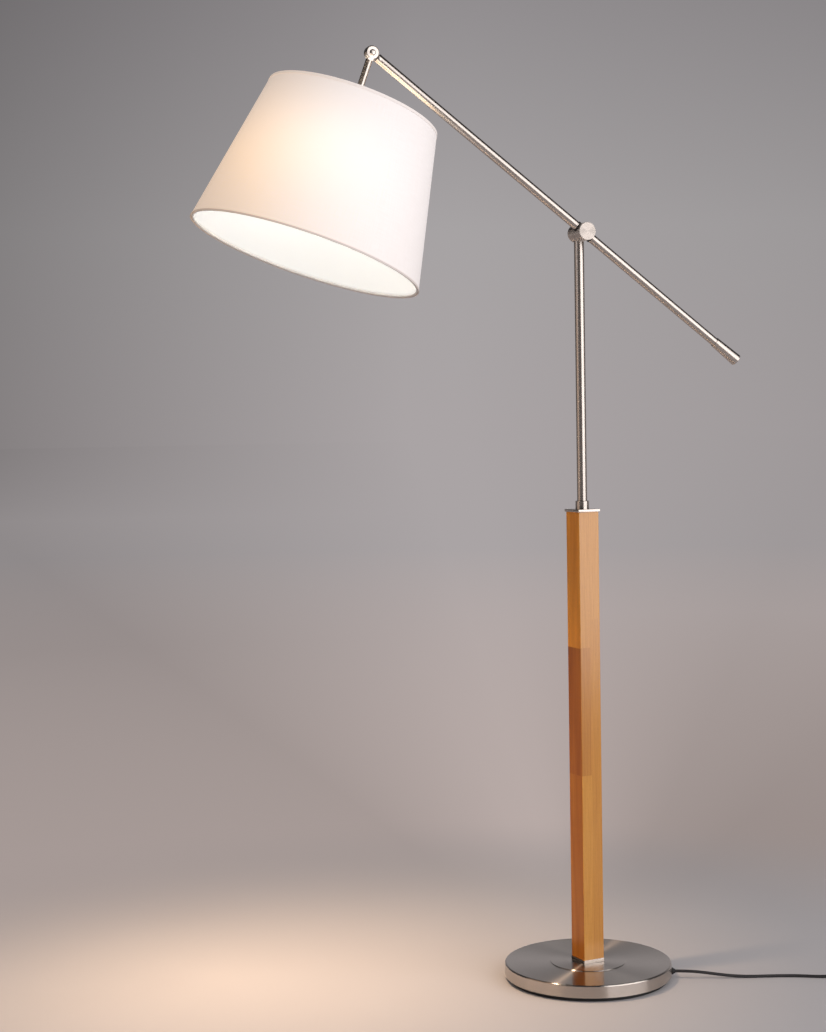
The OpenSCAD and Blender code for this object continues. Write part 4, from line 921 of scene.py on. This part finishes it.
def make_stage():
    """A round floor whose far part glows with painted light, which fades into the backdrop's tone."""
    made, tree, shader = material("pale_floor_paint", Roughness=0.6, IOR=1.4)
    spot = place_on(tree)
    worn = noise(tree, spot, 3.0, 4.0)
    fill(tree, shader, {"Base Color": mixed(tree, worn, "#B7B4B5", "#BBB8B9")})
    # The fade's middle lies towards the camera and the shade, so that the bulb's pool of light is on real floor.
    away = vector_of(tree, "DISTANCE", spot, (-0.3, -0.55, 0))
    far = add(tree, "ShaderNodeMapRange", {0: away, 1: 1.0, 2: 2.0}, interpolation_type="SMOOTHSTEP").outputs[0]
    fading = mixed(tree, spread(tree, away, 1.8, 12.0, 0, 1), "#BAACA8", HORIZON)
    sideways = add(tree, "ShaderNodeSeparateXYZ", {0: vector_of(tree, "NORMALIZE", spot)}).outputs[0]
    # The painted shade of the dark left corner fades on the nearer floor, and reaches the backdrop's own tone at the
    # floor's edge. The change is even in one over the distance, which is even in a picture, so that no line shows at
    # the horizon.
    near_part = spread(tree, away, 1.5, 6, 0.38, 0.58)
    far_part = spread(tree, math_of(tree, "DIVIDE", 1.0, away), 1 / FLOOR_R, 1 / 18, 0.42, 0)
    reach = math_of(tree, "ADD", near_part, far_part)
    left = math_of(tree, "MULTIPLY", spread(tree, sideways, *LEFT_SHADE), reach)
    # On the right the nearer floor has a little painted shade.
    near_right = spread(tree, sideways, 0.28, 0.66, 0, -0.2)
    near_right = math_of(tree, "MULTIPLY", near_right, spread(tree, away, 2, 7, 1, 0))
    right = math_of(tree, "ADD", near_right, spread(tree, sideways, *RIGHT_SHADE))
    painted_far_glow = add(tree, "ShaderNodeEmission", {"Color": fading, "Strength": math_of(tree, "ADD", left, right)})
    both = add(tree, "ShaderNodeMixShader", {0: far, 1: shader.outputs[0], 2: painted_far_glow.outputs[0]}).outputs[0]
    fill(tree, tree.nodes["Material Output"], {"Surface": both})
    mesh = bpy.data.meshes.new("floor")
    turns = [math.tau * k / FLOOR_SIDES for k in range(FLOOR_SIDES)]
    ring = [(FLOOR_R * math.cos(t), FLOOR_R * math.sin(t), 0) for t in turns]
    mesh.from_pydata(ring, [], [tuple(range(FLOOR_SIDES))])
    mesh.materials.append(made)
    linked("floor", mesh)


def make_world():
    """A grey backdrop, darker overhead and to the left. Behind the camera the room is dim, which gives metal its
    dark bands. Diffuse light comes from it at an even, softer level."""
    world = bpy.data.worlds.new("studio")
    bpy.context.scene.world = world
    world.use_nodes = True
    tree = world.node_tree
    way = add(tree, "ShaderNodeTexCoord").outputs["Generated"]
    parts = add(tree, "ShaderNodeSeparateXYZ", {0: way})
    ramp = add(tree, "ShaderNodeValToRGB", {0: parts.outputs[2]})
    ramp.color_ramp.elements[0].color = linear(HORIZON)
    ramp.color_ramp.elements[1].color = linear("#7A7879")
    ramp.color_ramp.elements[1].position = 0.6
    for position, code in ((0.1, "#A7A3A4"), (0.22, "#918D8F")):
        ramp.color_ramp.elements.new(position).color = linear(code)
    rays = add(tree, "ShaderNodeLightPath")
    glossy = rays.outputs["Is Glossy Ray"]
    seen = math_of(tree, "MAXIMUM", rays.outputs["Is Camera Ray"], glossy)
    seen = math_of(tree, "MAXIMUM", seen, rays.outputs["Is Transmission Ray"])
    sides = [spread(tree, parts.outputs[0], *shade) for shade in (LEFT_SHADE, RIGHT_SHADE)]
    # The backdrop stands behind the lamp. What metal sees beside it, and on the camera's side, is a dim room.
    paper = spread(tree, vector_of(tree, "DOT_PRODUCT", way, BACKDROP_WAY), *BACKDROP_SHADE)
    dimmed = math_of(tree, "MULTIPLY_ADD", math_of(tree, "SUBTRACT", paper, 1.0), glossy, 1.0)
    level = math_of(tree, "MULTIPLY", math_of(tree, "ADD", *sides), dimmed)
    backdrop = add(tree, "ShaderNodeBackground", {0: ramp.outputs[0], 1: level}).outputs[0]
    ambient = add(tree, "ShaderNodeBackground", {0: linear("#E8E6E8"), 1: 0.49}).outputs[0]
    both = add(tree, "ShaderNodeMixShader", {0: seen, 1: ambient, 2: backdrop}).outputs[0]
    world.cycles.sampling_method = "NONE"
    fill(tree, tree.nodes["World Output"], {"Surface": both})


def lamp(name, place, aim, power, colour, body=None, **shape):
    """An area lamp that the camera doesn't see. It may turn with a body."""
    data = bpy.data.lights.new(name, "AREA")
    data.energy, data.color = power, linear(colour)[:3]
    for key, value in shape.items():
        setattr(data, key, value)
    made = linked(name, data)
    made.location = place
    made.rotation_euler = (Vector(aim) - Vector(place)).to_track_quat("-Z", "Y").to_euler()
    made.visible_camera = False
    if body:
        bpy.context.view_layer.update()
        made.parent = frame["bodies"][body]
        made.matrix_parent_inverse = frame["bodies"][body].matrix_world.inverted()
    return made


def make_bulb_light():
    """The bulb's own light on the floor and the base. It leaves by the shade's mouth, and turns with the head. Metal
    sees it as a smaller spot at the mouth's far side, which is what the base sees of the lit lining, so that its
    streak there is narrow and lies as in the photograph."""
    mouth, crown = (HEAD @ Vector((0, 0, (SHADE_DROP + s) * MM)) for s in (SHADE_H - MOUTH_IN, CROWN_IN))
    aim = mouth + Vector(BEAM_WAY)
    pool = lamp("bulb_pool", mouth, aim, 5.3, "#FFD8B0", "head", shape="DISK", size=0.07, spread=math.radians(86))
    pool.visible_glossy = False
    lit_side = mouth + Vector(LIT_SIDE)
    shine = lamp("bulb_shine", lit_side, aim, 3.8, "#FFDDC0", "head", shape="DISK", size=0.05,
                 spread=math.radians(100))
    shine.visible_diffuse = False
    # What leaves by the shade's top shows along the arm's underside.
    lamp("bulb_crown", crown, HEAD.translation, 0.3, "#FFE0BC", "head", shape="DISK", size=0.24)


make_stage()
make_world()
lamp("key_panel", (1.37, -2.33, 1.7), (0, 0, 1.2), 78, "#FFFAFA", shape="RECTANGLE", size=3.3, size_y=3.2)
lamp("fill_panel", (-2.8, 0.3, 1.3), (0, 0, 0.9), 8, "#FFDDC2", shape="RECTANGLE", size=2.2, size_y=1.7)
make_bulb_light()
